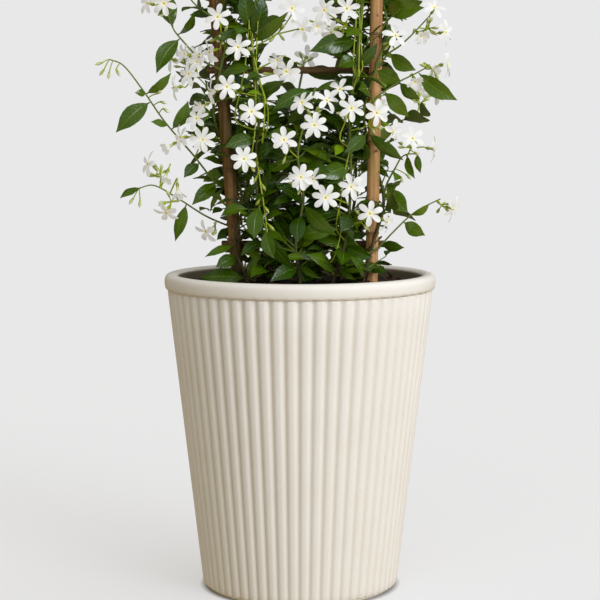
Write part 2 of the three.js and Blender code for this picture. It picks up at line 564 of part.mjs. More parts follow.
// Flower sprays that the front view shows: branch, control point, closed buds, then each bloom as
// centre, turn from the front towards +X, lift from level, and petals.
const SHOWN_SPRAYS = [
  ['left_twiner', 6.5, 1, [-73, -38, 524, -5, 10, 6], [-81, -30, 493, -60, -20, 5]],
  ['left_front', 6.2, 1, [-55, -40, 497, 0, 8, 6]],
  ['left_front', 5.3, 2, [-65, -40, 462, 0, 5, 6], [-80, -30, 458, -70, -10, 5]],
  ['left_front', 4.8, 1, [-43, -44, 440, 5, 8, 6]],
  ['left_front', 3.7, 1, [-50, -44, 398, 5, 8, 7]],
  ['long_left', 1.95, 1, [-87, -36, 415, -10, 5, 7], [-93, -26, 434, -35, 30, 6],
    [-108, -22, 417, -60, 0, 5]],
  ['middle_front', 3.9, 1, [-14, -50, 415, 5, 10, 6]],
  ['middle_front', 3.1, 2, [1, -56, 382, 0, 5, 7]],
  ['middle_front', 4.9, 1, [13, -52, 428, 0, 8, 7], [2, -40, 448, -25, 35, 6], [24, -38, 450, 30, 30, 5]],
  ['right_front', 5.8, 1, [46, -46, 443, 5, 8, 6], [36, -34, 460, -15, 35, 5]],
  ['right_front', 5.6, 0, [69, -38, 439, 15, 0, 6], [84, -26, 422, 50, -15, 5]],
  ['right_front', 3.5, 1, [23, -60, 364, 0, 5, 7], [12, -46, 380, -30, 30, 5]],
  ['right_front', 3.9, 1, [46, -48, 373, 0, 8, 6]],
  ['right_front', 2.9, 1, [63, -42, 349, 5, 5, 6], [79, -30, 341, 65, -20, 5]],
  ['right_front', 7.8, 1, [42, -42, 531, 0, 10, 6], [22, -32, 530, -20, 15, 6], [28, -28, 511, -40, -20, 5]],
  ['left_front', 6.4, 1, [-7, -26, 532, 0, 20, 6], [2, -20, 514, 30, 0, 5]],
  ['left_front', 5.7, 1, [-12, -28, 476, -10, -10, 6]],
  ['low_left', 3.8, 3, [-137, -30, 393, -60, 10, 5]],
  ['upper_left', 0.9, 2, [-100, -22, 474, -40, 10, 6], [-114, -16, 462, -75, -5, 5],
    [-92, -2, 492, 20, 45, 5]],
  ['upper_left', 4, 1, [-121, -36, 536, -10, 0, 6], [-137, -24, 537, -55, 10, 5]],
  ['upper_right', 3.4, 3, [131, -24, 511, 60, 5, 6], [121, -20, 533, 25, 40, 5]],
  ['long_right', 5, 2, [130, -24, 482, 70, 0, 6]],
  ['middle_right', 4, 2, [102, -24, 416, 20, 15, 6], [122, -14, 406, 80, -10, 6]],
  ['low_right', 6, 2, [139, -22, 352, 60, -15, 6]],
  ['low_left', 1.7, 2, [-86, -14, 331, -40, -25, 5]],
  ['low_left', 3.2, 1, [-121, -28, 349, -20, -45, 5]],
  ['upper_right', 1.6, 1, [86, -24, 508, 20, 25, 5]],
];

// Sprays on the top and the back, by rule: branch, control point, buds, and the way each bloom faces.
const RULED_SPRAYS = [
  ['left_front', 9.9, 2, -30, 20], ['right_front', 10.9, 1, 25], ['left_twiner', 8.6, 1, -100],
  ['right_twiner', 8.6, 1, 110], ['left_back', 8.9, 1, 200], ['right_back', 8.9, 1, 170],
  ['back_left', 3, 2, -130, 170], ['back_right', 3, 1, 120, 170], ['back_low', 3, 1, 200],
  ['middle_back', 5.9, 1, 170], ['back_top', 3, 1, -120], ['top_right', 3, 1, 70],
];
const SPRAY_REACH = 27;
const SPRAY_SHIFTS = [0, 3, 6, 9, 12, -3, -6];
const SPRAY_KNOTS = [0, 0.4, -0.4, 0.8, -0.8];

function facing(turn, lift) {
  const level = Math.cos(degrees(lift));
  return vec(Math.sin(degrees(turn)) * level, -Math.cos(degrees(turn)) * level, Math.sin(degrees(lift)));
}

function ruledBlooms([branch, knot, , ...turns]) {
  const { at } = station(branch, knot);
  return turns.map((turn) => {
    const lift = between(0, 35);
    const centre = at.clone().addScaledVector(facing(turn, lift + 25), SPRAY_REACH + between(-3, 5));
    return [...centre.toArray(), turn, lift, 5 + Math.floor(between(0, 2))];
  });
}

// The lowest stretch of a stalk, which finds how far its foot is from the stem.
function stub(foot, fork, way) {
  const side = (Math.abs(way.z) < 0.9 ? UP : FRONT).clone().cross(way).normalize();
  const over = way.clone().cross(side);
  const { places, corners } = skin([foot, fork].map((point) => around3(point, side, over, STALK_RADIUS)));
  return solidFrom(places, corners);
}

// One spray: a stalk that starts just off its stem, forks, and carries blooms and buds.
function spray(branch, knot, buds, blooms) {
  const spins = blooms.map(() => between(0, Math.PI));
  const budTurns = Array.from({ length: buds }, () => [between(-60, 60), between(-30, 50)]);
  return SPRAY_SHIFTS.flatMap((shift) => SPRAY_KNOTS.map((slide) => {
    const { at, along, radius } = station(branch, knot + slide);
    const heads = blooms.map(([x, y, z, turn, lift, petals], k) => {
      const axis = facing(turn, lift);
      const centre = vec(x, y, z).addScaledVector(axis, shift);
      const back = centre.clone().addScaledVector(axis, -BLOOM_TUBE - STALK_NECK);
      return { centre, axis, petals, spin: spins[k], back };
    });
    const aim = heads.reduce((sum, head) => sum.add(head.back), vec(0, 0, 0)).divideScalar(heads.length);
    const way = aim.clone().sub(at);
    const off = way.clone().addScaledVector(along, -0.98 * way.dot(along)).normalize();
    const foot = at.clone().addScaledVector(off, radius + CLEAR);
    const fork = foot.clone().lerp(aim, FORK_SHARE).addScaledVector(off, FORK_BOW);
    foot.addScaledVector(off, SEAT - stub(foot, fork, off).minGap(branches[branch].solid, SPRAY_REACH));
    const crotch = (k) => fork.clone().lerp(foot, FORK_SINK + FORK_STEP * k);
    const solids = heads.map((head, k) => {
      const low = k === 0 ? [fork, foot] : [crotch(k)];
      const stalk = heads.length > 1 ? [head.back, ...low] : low;
      return bloom({ ...head, stalk, footWay: off.clone().negate(), forks: k > 0 });
    });
    const mean = heads.reduce((sum, head) => sum.add(head.axis), vec(0, 0, 0)).normalize();
    for (const [swing, lift] of budTurns) {
      const reach = mean.clone().applyAxisAngle(UP, degrees(swing));
      reach.setZ(reach.z + Math.tan(degrees(lift))).normalize();
      solids.push(bud(crotch(solids.length), reach, BUD_REACH));
    }
    return solids;
  }));
}

// Buds that sit on green shoots: shoot, control point and the place of each bud's root.
const SHOOT_BUDS = [
  ['long_left', 6, [-178, -22, 484], [-177, -19, 478], [-172, -22, 476], [-166, -21, 478]],
  ['long_left', 3.75, [-130, -22, 456], [-126, -24, 449], [-124, -20, 443]],
  ['low_left', 5, [-151, -25, 362], [-145, -26, 360]],
  ['middle_right', 2.2, [92, -12, 381], [97, -9, 383]],
];

// Grow the plant round what stands already.
const group = new THREE.Group();
const stemNames = Object.keys(branches).filter((name) => branches[name].stem === name);
const greens = Object.fromEntries(stemNames.map((name) => [name, []]));

const caneSolids = { left: cane(LEFT_CANE), right: cane(RIGHT_CANE) };
const hardware = [['cane_left', caneSolids.left, bamboo], ['cane_right', caneSolids.right, bamboo]];
for (const [level, z] of Object.entries(RUNG_HEIGHTS)) {
  hardware.push([`rung_${level}`, rung(z), rungWood]);
  hardware.push([`tie_${level}_left`, tie(LEFT_CANE, z), wire]);
  hardware.push([`tie_${level}_right`, tie(RIGHT_CANE, z), wire]);
}

// The soil: a plug that fills the pot, with a crumbly top and a plain hole for each cane and root.
function soil() {
  const top = innerRadius(SOIL_TOP) - CLEAR;
  const bottom = innerRadius(FLOOR + CLEAR) - CLEAR;
  const rings = SOIL_RINGS.map((share) => [top * share, SOIL_TOP]);
  const plug = turned([[0, FLOOR + CLEAR], [bottom, FLOOR + CLEAR], ...rings, [0, SOIL_TOP]], SOIL_SIDES);
  const place = plug.attributes.position;
  for (let i = 0; i < place.count; i += 1) {
    const [x, y, z] = [place.getX(i), place.getY(i), place.getZ(i)];
    const radius = Math.hypot(x, y);
    if (z > SOIL_TOP - 1 && radius < top - 1 && radius > 1) {
      place.setZ(i, z + SOIL_RELIEF * Math.sin(0.21 * x + 1.3) * Math.cos(0.17 * y + 0.11 * x));
    }
  }
  const hole = (radius, foot, sides) => turned([[0, foot], [radius, foot], [radius, POT_HEIGHT],
    [0, POT_HEIGHT]], sides);
  const roots = stemNames.map((name) => {
    const { x, y } = branches[name].points[0];
    return solidOf(hole(ROOT_HOLE, ROOT_FOOT - CLEAR, 6).translate(x, y, 0));
  });
  const bores = [LEFT_CANE, RIGHT_CANE].map(({ x, lean }) => solidOf(
    hole(CANE_RADIUS + JOINT_SWELL + 2 * CLEAR, CANE_FOOT - CLEAR, 8).translate(0, 0, -SOIL_TOP)
      .rotateY(degrees(lean)).translate(x, 0, SOIL_TOP)));
  return solidOf(plug).subtract(join([...roots, ...bores]));
}

const potSolid = pot();
const soilSolid = soil();
remember('pot', potSolid);
remember('soil', soilSolid);
for (const [name, solid] of hardware) remember(name, solid);
for (const [name, branch] of Object.entries(branches)) {
  greens[branch.stem].push(branch.solid);
  remember(branch.stem, branch.solid, false);
}

for (const [branch, knot, ...roots] of SHOOT_BUDS) {
  const { at } = station(branch, knot);
  for (const root of roots) {
    const way = vec(...root).sub(at).normalize();
    const closed = bud(at, way, at.distanceTo(vec(...root)));
    greens[branches[branch].stem].push(closed);
    remember(branches[branch].stem, closed, false);
  }
}

const sprays = [];
const allSprays = [...SHOWN_SPRAYS.map(([branch, knot, buds, ...blooms]) => [branch, knot, buds, blooms]),
  ...RULED_SPRAYS.map((row) => [row[0], row[1], row[2], ruledBlooms(row)])];
for (const [index, row] of allSprays.entries()) {
  const name = `spray_${String(index + 1).padStart(2, '0')}`;
  for (const solids of spray(...row)) {
    const solid = join(solids);
    if (!isClear(name, solid)) continue;
    sprays.push([name, solid]);
    remember(name, solid, true);
    break;
  }
}

function growLeaf(branch, tries, isShown) {
  const node = branches[branch].stem;
  for (const leaf of tries) {
    const middle = leaf.root.clone().lerp(leaf.tip, 0.6);
    if (!isShown && (hidesTheLadder(leaf.tip) || hidesTheLadder(middle))) continue;
    const solid = blade(leaf);
    if (!isClear(node, solid)) continue;
    greens[node].push(solid);
    remember(node, solid, true);
    return;
  }
}

for (const row of SHOWN_LEAVES) growLeaf(row[0], shownLeafTries(row), true);
for (const [branch, first, last, pairs] of LEAF_PAIRS) {
  for (let k = 0; k < pairs; k += 1) {
    const knot = first + ((last - first) * (k + between(-0.25, 0.25))) / Math.max(1, pairs - 1);
    const azimuth = 90 * k + 45 + between(-20, 20);
    for (const opposite of [0, 180]) {
      growLeaf(branch, pairedLeafTries(branch, knot, azimuth + opposite), false);
    }
  }
}

group.add(piece('pot', potSolid, glaze), piece('soil', soilSolid, earth));
for (const [name, solid, material] of hardware) group.add(piece(name, solid, material));
for (const name of stemNames) group.add(piece(`stem_${name}`, join(greens[name]), leafGreen));
for (const [name, solid] of sprays) group.add(piece(name, solid, petalWhite));

export default group;
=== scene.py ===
import bpy
import numpy as np
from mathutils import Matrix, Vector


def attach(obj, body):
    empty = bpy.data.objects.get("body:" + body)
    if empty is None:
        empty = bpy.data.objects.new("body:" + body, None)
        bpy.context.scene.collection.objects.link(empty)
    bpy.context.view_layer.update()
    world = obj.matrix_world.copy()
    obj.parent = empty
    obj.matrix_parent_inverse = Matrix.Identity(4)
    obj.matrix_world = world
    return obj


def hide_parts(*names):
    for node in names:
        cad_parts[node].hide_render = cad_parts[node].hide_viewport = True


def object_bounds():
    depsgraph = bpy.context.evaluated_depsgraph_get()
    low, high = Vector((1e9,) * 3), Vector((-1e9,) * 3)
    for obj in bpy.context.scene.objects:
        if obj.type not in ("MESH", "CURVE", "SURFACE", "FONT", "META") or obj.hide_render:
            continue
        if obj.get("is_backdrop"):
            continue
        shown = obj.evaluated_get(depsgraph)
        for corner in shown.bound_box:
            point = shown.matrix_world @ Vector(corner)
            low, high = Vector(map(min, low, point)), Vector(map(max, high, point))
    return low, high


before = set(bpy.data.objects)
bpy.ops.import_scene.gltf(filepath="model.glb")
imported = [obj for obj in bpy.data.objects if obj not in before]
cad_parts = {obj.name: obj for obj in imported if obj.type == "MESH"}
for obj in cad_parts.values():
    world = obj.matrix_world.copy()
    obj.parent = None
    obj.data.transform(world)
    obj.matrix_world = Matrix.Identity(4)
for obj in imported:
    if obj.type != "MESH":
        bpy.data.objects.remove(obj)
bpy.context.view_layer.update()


# Studio: a plain pale floor that fades into an even backdrop. The light is a broad soft one from the
# right in front, with a smaller lamp inside it. Weak warm light comes from all other sides.
BACKDROP = 0.807
FLOOR_TONE = (0.405, 0.407, 0.418, 1.0)
FLOOR_GLOW = 0.435
GLOW_FROM = 0.088
GLOW_TO = 0.0945
FLOOR_BOUNCE = (0.06, 0.05, 0.03, 1.0)
FLOOR_UPLIGHT = (0.3, 0.232, 0.128, 1.0)
WHITE = (1.0, 1.0, 1.0, 1.0)
FLOOR_RINGS = (0.0001, 0.15, 0.5, 1.0, 2.0, 3.0)
FLOOR_SIDES = 96
FADE_FROM = 1.0
FADE_TO = 2.7
KEY_TURN = np.radians(43)
KEY_RISE = np.radians(20)
KEY_SKY = 1.38
GLOSS_SKY = 0.22
LAMP_POWER = 1.0
LAMP_SPREAD = np.radians(30)
SIDE_TURN = np.radians(-110)
SIDE_RISE = np.radians(5)
SIDE_SKY = 0.265
BACK_TURN = np.radians(180)
BACK_RISE = np.radians(30)
BACK_SKY = 0.5
TOP_SKY = 0.16
KEY_TINT = (0.965, 0.985, 1.035)
FILL_TINT = (1.0, 0.92, 0.72)
BACK_TINT = (1.0, 0.95, 0.84)
LENS = 106.1
SENSOR = 36.0
CAMERA_PLACE = (0.0, -1.630, 0.431)
CAMERA_PITCH = np.radians(5.76)

scene = bpy.context.scene
scene.view_settings.view_transform = "Standard"


def paint(red, green, blue):
    """A colour given by its screen values from 0 to 255, as linear light."""
    screen = np.array([red, green, blue]) / 255
    linear = np.where(screen <= 0.04045, screen / 12.92, ((screen + 0.055) / 1.055) ** 2.4)
    return (*linear.tolist(), 1.0)


def add_node(tree, kind, inputs=None, **settings):
    """A shader node with its settings. Each input is a number, or another node's output to link."""
    node = tree.nodes.new("ShaderNode" + kind)
    for name, value in settings.items():
        setattr(node, name, value)
    for name, value in (inputs or {}).items():
        if isinstance(value, bpy.types.NodeSocket):
            tree.links.new(value, node.inputs[name])
        else:
            node.inputs[name].default_value = value
    return node


def add_mesh(name, points, faces):
    """A new object at the origin whose mesh has these points and faces."""
    mesh = bpy.data.meshes.new(name)
    mesh.from_pydata(points.tolist(), [], faces)
    mesh.validate()
    piece = bpy.data.objects.new(name, mesh)
    scene.collection.objects.link(piece)
    return piece


def circle(sides):
    """The turns of a full circle's points, the first at nought."""
    return np.linspace(0, 2 * np.pi, sides + 1)[:-1]


def light_sky():
    """An even grey to the camera. To all else, a sky that grows as the cosine towards each of four sides.

    Gloss reflects it weaker, so that the lamp alone makes the highlights."""
    world = bpy.data.worlds.new("sky")
    world.use_nodes = True
    scene.world = world
    tree = world.node_tree
    tree.nodes.clear()
    aim = add_node(tree, "TexCoord").outputs["Generated"]
    total = (0.0, 0.0, 0.0)
    lobes = ((KEY_TURN, KEY_RISE, KEY_SKY, KEY_TINT), (SIDE_TURN, SIDE_RISE, SIDE_SKY, FILL_TINT),
        (BACK_TURN, BACK_RISE, BACK_SKY, BACK_TINT), (0.0, np.pi / 2, TOP_SKY, FILL_TINT))
    for turn, rise, power, tint in lobes:
        side = (np.cos(rise) * np.sin(turn), -np.cos(rise) * np.cos(turn), np.sin(rise))
        cosine = add_node(tree, "VectorMath", {0: aim, 1: side}, operation="DOT_PRODUCT").outputs["Value"]
        lobe = add_node(tree, "MapRange", {"Value": cosine, "To Max": power}).outputs["Result"]
        summed = add_node(tree, "VectorMath", {0: lobe, 1: tint, 2: total}, operation="MULTIPLY_ADD")
        total = summed.outputs[0]
    ray = add_node(tree, "LightPath").outputs
    dimmed = {"Value": ray["Is Glossy Ray"], "To Min": 1.0, "To Max": GLOSS_SKY}
    strength = add_node(tree, "MapRange", dimmed).outputs["Result"]
    lit = add_node(tree, "Background", {"Color": total, "Strength": strength})
    seen = add_node(tree, "Background", {"Color": (BACKDROP, BACKDROP, BACKDROP, 1.0)})
    both = add_node(tree, "MixShader", {0: ray["Is Camera Ray"], 1: lit.outputs[0], 2: seen.outputs[0]})
    add_node(tree, "OutputWorld", {"Surface": both.outputs[0]})


def lay_floor():
    """A flat ring grid: even near the pot, and seen through more and more further out.

    To the camera it has its own tone and a glow, which ends at the pot's foot and so leaves a dark
    line there. To the light it is darker, and an even warm glow lights the pot's wall from below."""
    turns = circle(FLOOR_SIDES)
    ring = np.stack([np.cos(turns), np.sin(turns), 0 * turns], axis=1)
    rings = np.array(FLOOR_RINGS)[:, None, None] * ring
    row, column = np.meshgrid(np.arange(len(FLOOR_RINGS) - 1), np.arange(FLOOR_SIDES), indexing="ij")
    after = (column + 1) % FLOOR_SIDES
    inner, outer = row * FLOOR_SIDES, (row + 1) * FLOOR_SIDES
    faces = np.stack([inner + column, outer + column, outer + after, inner + after], axis=-1)
    floor = add_mesh("floor", rings.reshape(-1, 3), faces.reshape(-1, 4).tolist())
    finish = bpy.data.materials.new("floor_paint")
    finish.use_nodes = True
    tree = finish.node_tree
    shader = tree.nodes["Principled BSDF"]
    is_camera = add_node(tree, "LightPath").outputs["Is Camera Ray"]
    place = add_node(tree, "TexCoord").outputs["Object"]
    away = add_node(tree, "VectorMath", {0: place}, operation="LENGTH").outputs["Value"]
    open_floor = add_node(tree, "MapRange", {"Value": away, "From Min": GLOW_FROM, "From Max": GLOW_TO,
        "To Max": FLOOR_GLOW}).outputs["Result"]
    glow = add_node(tree, "Mix", {0: is_camera, 2: 1.0, 3: open_floor}).outputs[0]
    tree.links.new(glow, shader.inputs["Emission Strength"])
    for socket, to_light, to_camera in (("Base Color", FLOOR_BOUNCE, FLOOR_TONE),
            ("Emission Color", FLOOR_UPLIGHT, WHITE)):
        tone = add_node(tree, "Mix", {0: is_camera, 6: to_light, 7: to_camera}, data_type="RGBA").outputs[2]
        tree.links.new(tone, shader.inputs[socket])
    shader.inputs["Roughness"].default_value = 1.0
    shader.inputs["Specular IOR Level"].default_value = 0.0
    fade = add_node(tree, "MapRange", {"Value": away, "From Min": FADE_FROM, "From Max": FADE_TO}).outputs[0]
    clear = add_node(tree, "BsdfTransparent").outputs[0]
    both = add_node(tree, "MixShader", {0: fade, 1: shader.outputs[0], 2: clear})
    tree.links.new(both.outputs[0], tree.nodes["Material Output"].inputs["Surface"])
    floor.data.materials.append(finish)
    floor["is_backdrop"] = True


def hang_key():
    """A distant lamp as wide as a large soft box."""
    lamp = bpy.data.lights.new("key", "SUN")
    lamp.energy = LAMP_POWER
    lamp.angle = LAMP_SPREAD
    lamp.color = KEY_TINT
    key = bpy.data.objects.new("key", lamp)
    key.rotation_euler = (np.pi / 2 - KEY_RISE, 0.0, KEY_TURN)
    scene.collection.objects.link(key)


def set_camera():
    """The photograph's place and angle of view, looking along +Y and slightly down."""
    lens = bpy.data.cameras.new("camera")
    lens.lens = LENS
    lens.sensor_width = SENSOR
    camera = bpy.data.objects.new("camera", lens)
    camera.location = CAMERA_PLACE
    camera.rotation_euler = (np.pi / 2 - CAMERA_PITCH, 0.0, 0.0)
    scene.collection.objects.link(camera)
    scene.camera = camera


light_sky()
lay_floor()
hang_key()
set_camera()


# Pot: one thrown and ribbed piece of stoneware under a cream satin glaze. Sixty upright ribs end in
# small domes under a rolled rim. It stands on a recessed foot, and its floor has three drain holes.
MM = 0.001
POT_HEIGHT = 292 * MM
RIM_RADIUS = 125 * MM
RIM_UNDER = 278.5 * MM
RIM_ROLL = np.array([[1.8, 0], [0.7, 1.1], [0.25, 2.6], [0.05, 5], [0, 7.6], [0.4, 9.8], [1.3, 11.6],
    [2.9, 12.8], [5.0, 13.4], [7.4, 13.5]]) * MM
RIM_PAINTED_SHADE = 0.55
RIM_SCALLOP = np.array([[0.5], [0.3]]) * MM
LIP = np.array([[116.2, 291.9], [114.6, 291.2], [113.2, 290.0], [112.2, 288.4], [111.5, 287]]) * MM
INNER_SHADE_AND_STAIN_TOP = 291 * MM
INNER_SHADE_AND_STAIN_FADE = 3 * MM
INNER_STEPS = 8
INNER_FLOOR = 11 * MM
INNER_FLOOR_RADIUS = 81.2 * MM
INNER_CORNER = np.array([[-0.8, 6], [1, 2], [5, 0], [41.2, 0]]) * MM
FOOT_RADIUS = 86 * MM
FOOT_HEIGHT = 3 * MM
FOOT_ROLL = np.array([[46, 0], [1.2, 0], [0.3, 0.4], [0, 1.3], [0, 3]]) * MM
RIB_COUNT = 60
COLUMNS_PER_RIB = 16
RIB_DEPTHS = (1.2 * MM, 2.5 * MM)
RIB_RADII = (90.7 * MM, 122.2 * MM)
RIB_TOP = 275.1 * MM
RIB_FLATNESS = 1.7
RIB_HEEL = np.array([[1.5, 0], [0.5, 0.5], [0, 1.6]]) * MM
RIB_ROWS = np.linspace(10 * MM, RIB_TOP, 12)
RIB_DOME = 3.4 * MM
RIB_SHOULDER = 2.2 * MM
DOME_ROWS = RIB_TOP + RIB_DOME * np.array([0.2, 0.4, 0.6, 0.75, 0.88, 1.0])
DOME_RECESS = 0.8
DOME_TONE = 0.3
FIRST_GROOVE_TURN = -0.0135
DRAIN_RADIUS = 6 * MM
DRAIN_RING = 46 * MM
DRAIN_TURNS = np.radians([90, 210, 330])
DRAIN_SIDES = 32
DRILL_SPARE = 10 * MM


def unit(vectors):
    """Vectors of the same ways with a length of one."""
    return vectors / np.linalg.norm(vectors, axis=-1, keepdims=True)


def loft(rings, start, end, around=None, along=None):
    """Closed skins over stacks of rings, given as points [stack, row, column] and a point at each end.

    Each ring joins the next with four-cornered faces, and fans of triangles close the two ends.
    Each face corner's UV is the share of the way around its ring and the share along the stack."""
    stacks, rows, columns = rings.shape[:3]
    around = np.linspace(0, 1, columns + 1) if around is None else around
    along = np.linspace(0, 1, rows) if along is None else along
    points = np.concatenate([rings.reshape(stacks, -1, 3), start[:, None], end[:, None]], axis=1)
    row, column = np.meshgrid(np.arange(rows - 1), np.arange(columns), indexing="ij")
    after = (column + 1) % columns
    quads = np.stack([row * columns + column, row * columns + after, (row + 1) * columns + after,
        (row + 1) * columns + column], axis=-1).reshape(-1, 4)
    quad_uv = np.stack([np.stack([around[column + step], along[row + rise]], axis=-1)
        for step, rise in ((0, 0), (1, 0), (1, 1), (0, 1))], axis=-2).reshape(-1, 2)
    ring = np.arange(columns)
    after = (ring + 1) % columns
    last = (rows - 1) * columns
    foot = np.full(columns, rows * columns)
    fans = np.concatenate([np.stack([foot, after, ring], axis=-1),
        np.stack([foot + 1, last + ring, last + after], axis=-1)])
    middle = (around[ring] + around[ring + 1]) / 2
    ends = [np.stack([np.stack([first, np.full(columns, along[row])], axis=-1) for first in order], axis=1)
        for row, order in ((0, (middle, around[ring + 1], around[ring])),
            (-1, (middle, around[ring], around[ring + 1])))]
    shift = points.shape[1] * np.arange(stacks)[:, None, None]
    return {
        "points": points.reshape(-1, 3),
        "faces": [(quads + shift).reshape(-1, 4), (fans + shift).reshape(-1, 3)],
        "uv": [np.tile(quad_uv, (stacks, 1)), np.tile(np.concatenate(ends).reshape(-1, 2), (stacks, 1))],
    }


def spread_tone(skin, values):
    """Gives each stack of a skin its own tone: one value a stack, or one for each row of it as well."""
    each = len(skin["points"]) // len(values)
    values = np.asarray(values, float)
    if values.ndim == 2:
        columns = (each - 2) // values.shape[1]
        values = np.concatenate([np.repeat(values, columns, axis=1), values[:, :1], values[:, -1:]], axis=1)
        skin["tone"] = values.reshape(-1)
    else:
        skin["tone"] = np.repeat(values, each)
    return skin


def add_piece(name, skins, finishes, nodes, crease=45):
    """One object from several skins. It rides on the part's one body and stands for the nodes given."""
    points, faces, numbers, uv, tones = [], [], [], [], []
    start = 0
    for skin, number in skins:
        points.append(skin["points"])
        tones.append(skin.get("tone", np.zeros(len(skin["points"]))))
        for block, block_uv in zip(skin["faces"], skin["uv"]):
            faces.extend((block + start).tolist())
            numbers.append(np.full(len(block), number))
            uv.append(block_uv)
        start += len(skin["points"])
    piece = add_mesh(name, np.concatenate(points), faces)
    mesh = piece.data
    for finish in finishes:
        mesh.materials.append(finish)
    mesh.polygons.foreach_set("material_index", np.concatenate(numbers).astype(np.int32))
    mesh.uv_layers.new(name="UVMap").data.foreach_set("uv", np.concatenate(uv).ravel())
    mesh.attributes.new("tone", "FLOAT", "POINT").data.foreach_set("value", np.concatenate(tones))
    mesh.shade_smooth()
    mesh.set_sharp_from_angle(angle=np.radians(crease))
    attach(piece, "root")
    if nodes:
        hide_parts(*nodes)
    return piece


def rib_cut(share):
    """How deep the wall is cut across a rib, from 0 on its broad flat top to 1 in the soft groove."""
    return (1 - np.cos(np.pi * np.abs(2 * share - 1) ** RIB_FLATNESS)) / 2


def pot_skin():
    """A profile turned about +Z: up the outside, over the rim and down the inside.

    On the wall the radius is a straight slope, less the depth of the groove there. Near the top the
    rib falls back as a quarter circle, sooner towards its sides, so that it ends in a dome."""
    columns = RIB_COUNT * COLUMNS_PER_RIB
    share = (np.arange(columns) % COLUMNS_PER_RIB) / COLUMNS_PER_RIB
    turn = FIRST_GROOVE_TURN - np.pi / 2 + 2 * np.pi * np.arange(columns) / columns
    cut = rib_cut(share)
    heights = np.concatenate([FOOT_HEIGHT + RIB_HEEL[:, 1], RIB_ROWS, DOME_ROWS])
    slope = np.interp(heights, (FOOT_HEIGHT, RIB_TOP), RIB_RADII)
    slope[:len(RIB_HEEL)] -= RIB_HEEL[:, 0]
    depth = np.interp(heights, (FOOT_HEIGHT, POT_HEIGHT), RIB_DEPTHS)
    past = np.clip((heights[:, None] - RIB_TOP + RIB_SHOULDER * (2 * share - 1) ** 2) / RIB_DOME, 0, 1)
    groove = cut + np.maximum(DOME_RECESS - cut, 0) * (1 - np.sqrt(1 - past ** 2))
    wall = slope[:, None] - depth[:, None] * groove
    foot, rim, corner = (np.stack([radius - rows[:, 0], low + rows[:, 1]], axis=1) for radius, low, rows in (
        (FOOT_RADIUS, 0, FOOT_ROLL), (RIM_RADIUS, RIM_UNDER, RIM_ROLL),
        (INNER_FLOOR_RADIUS, INNER_FLOOR, INNER_CORNER)))
    inside = np.linspace(LIP[-1], corner[0], INNER_STEPS)[1:]
    below = np.repeat(foot[:, :, None], columns, axis=2)
    above = np.repeat(np.concatenate([rim, LIP, inside, corner[1:]])[:, :, None], columns, axis=2)
    above[:len(RIM_SCALLOP), 1] -= RIM_SCALLOP * (1 - cut)
    radius = np.concatenate([below[:, 0], wall, above[:, 0]])
    height = np.concatenate([below[:, 1], np.repeat(heights[:, None], columns, axis=1), above[:, 1]])
    # Below the lip the inside's tone goes below nought, which paints the wall darker brown: painted shade,
    # with the mix's stain.
    shade_and_stain = np.clip((above[:, 1, 0] - INNER_SHADE_AND_STAIN_TOP) / INNER_SHADE_AND_STAIN_FADE, -1, 0) * (above[:, 0, 0] < LIP[0, 0])
    # The rim and the lip's top get an even middle tone, which paints shade on their glaze.
    shade_and_stain[shade_and_stain == 0] = RIM_PAINTED_SHADE
    fading = np.where(heights < RIB_TOP, 1, DOME_TONE)[:, None]
    tone = np.concatenate([np.zeros_like(below[:, 0]), groove * fading,
        np.repeat(shade_and_stain[:, None], columns, axis=1)])
    rings = np.stack([radius * np.cos(turn), radius * np.sin(turn), height], axis=-1)[None]
    skin = loft(rings, np.zeros((1, 3)), np.array([[0, 0, INNER_FLOOR]]))
    skin["tone"] = np.concatenate([tone.ravel(), [0, 0]])
    return skin


def mix_paint(tree, share, first, second):
    """A colour between two others, by a share that is a number or another node's output."""
    return add_node(tree, "Mix", {0: share, 6: first, 7: second}, data_type="RGBA").outputs[2]


def math(tree, operation, *values):
    """The outcome of a sum on numbers and other nodes' outputs."""
    return add_node(tree, "Math", dict(enumerate(values)), operation=operation).outputs[0]


def skin_tone(tree):
    """The tone that each point of a skin was given."""
    return add_node(tree, "Attribute", attribute_name="tone").outputs["Fac"]


def noise(tree, place, scale, detail=3.0, stretch=(1, 1, 1)):
    """Soft seeded noise in the piece's own space, from 0 to 1, stretched along the axes."""
    mapped = add_node(tree, "Mapping", {"Vector": place, "Scale": stretch}).outputs["Vector"]
    return add_node(tree, "TexNoise", {"Vector": mapped, "Scale": scale, "Detail": detail}).outputs[0]


def step_up(tree, value, low, high, bottom=0.0, top=1.0):
    """A value carried smoothly from bottom to top while it goes from low to high."""
    return add_node(tree, "MapRange", {"Value": value, "From Min": low, "From Max": high, "To Min": bottom,
        "To Max": top}, interpolation_type="SMOOTHSTEP").outputs["Result"]


def start_finish(name, roughness):
    """A new material: it, its node tree, its main shader, and the piece's own coordinates."""
    finish = bpy.data.materials.new(name)
    finish.use_nodes = True
    tree = finish.node_tree
    shader = tree.nodes["Principled BSDF"]
    shader.inputs["Roughness"].default_value = roughness
    return finish, tree, shader, add_node(tree, "TexCoord").outputs["Object"]


def link_bump(tree, shader, height, depth, strength=1.0):
    """Raises the surface by a node's value times a depth in metres."""
    bump = add_node(tree, "Bump", {"Height": height, "Distance": depth, "Strength": strength})
    tree.links.new(bump.outputs["Normal"], shader.inputs["Normal"])


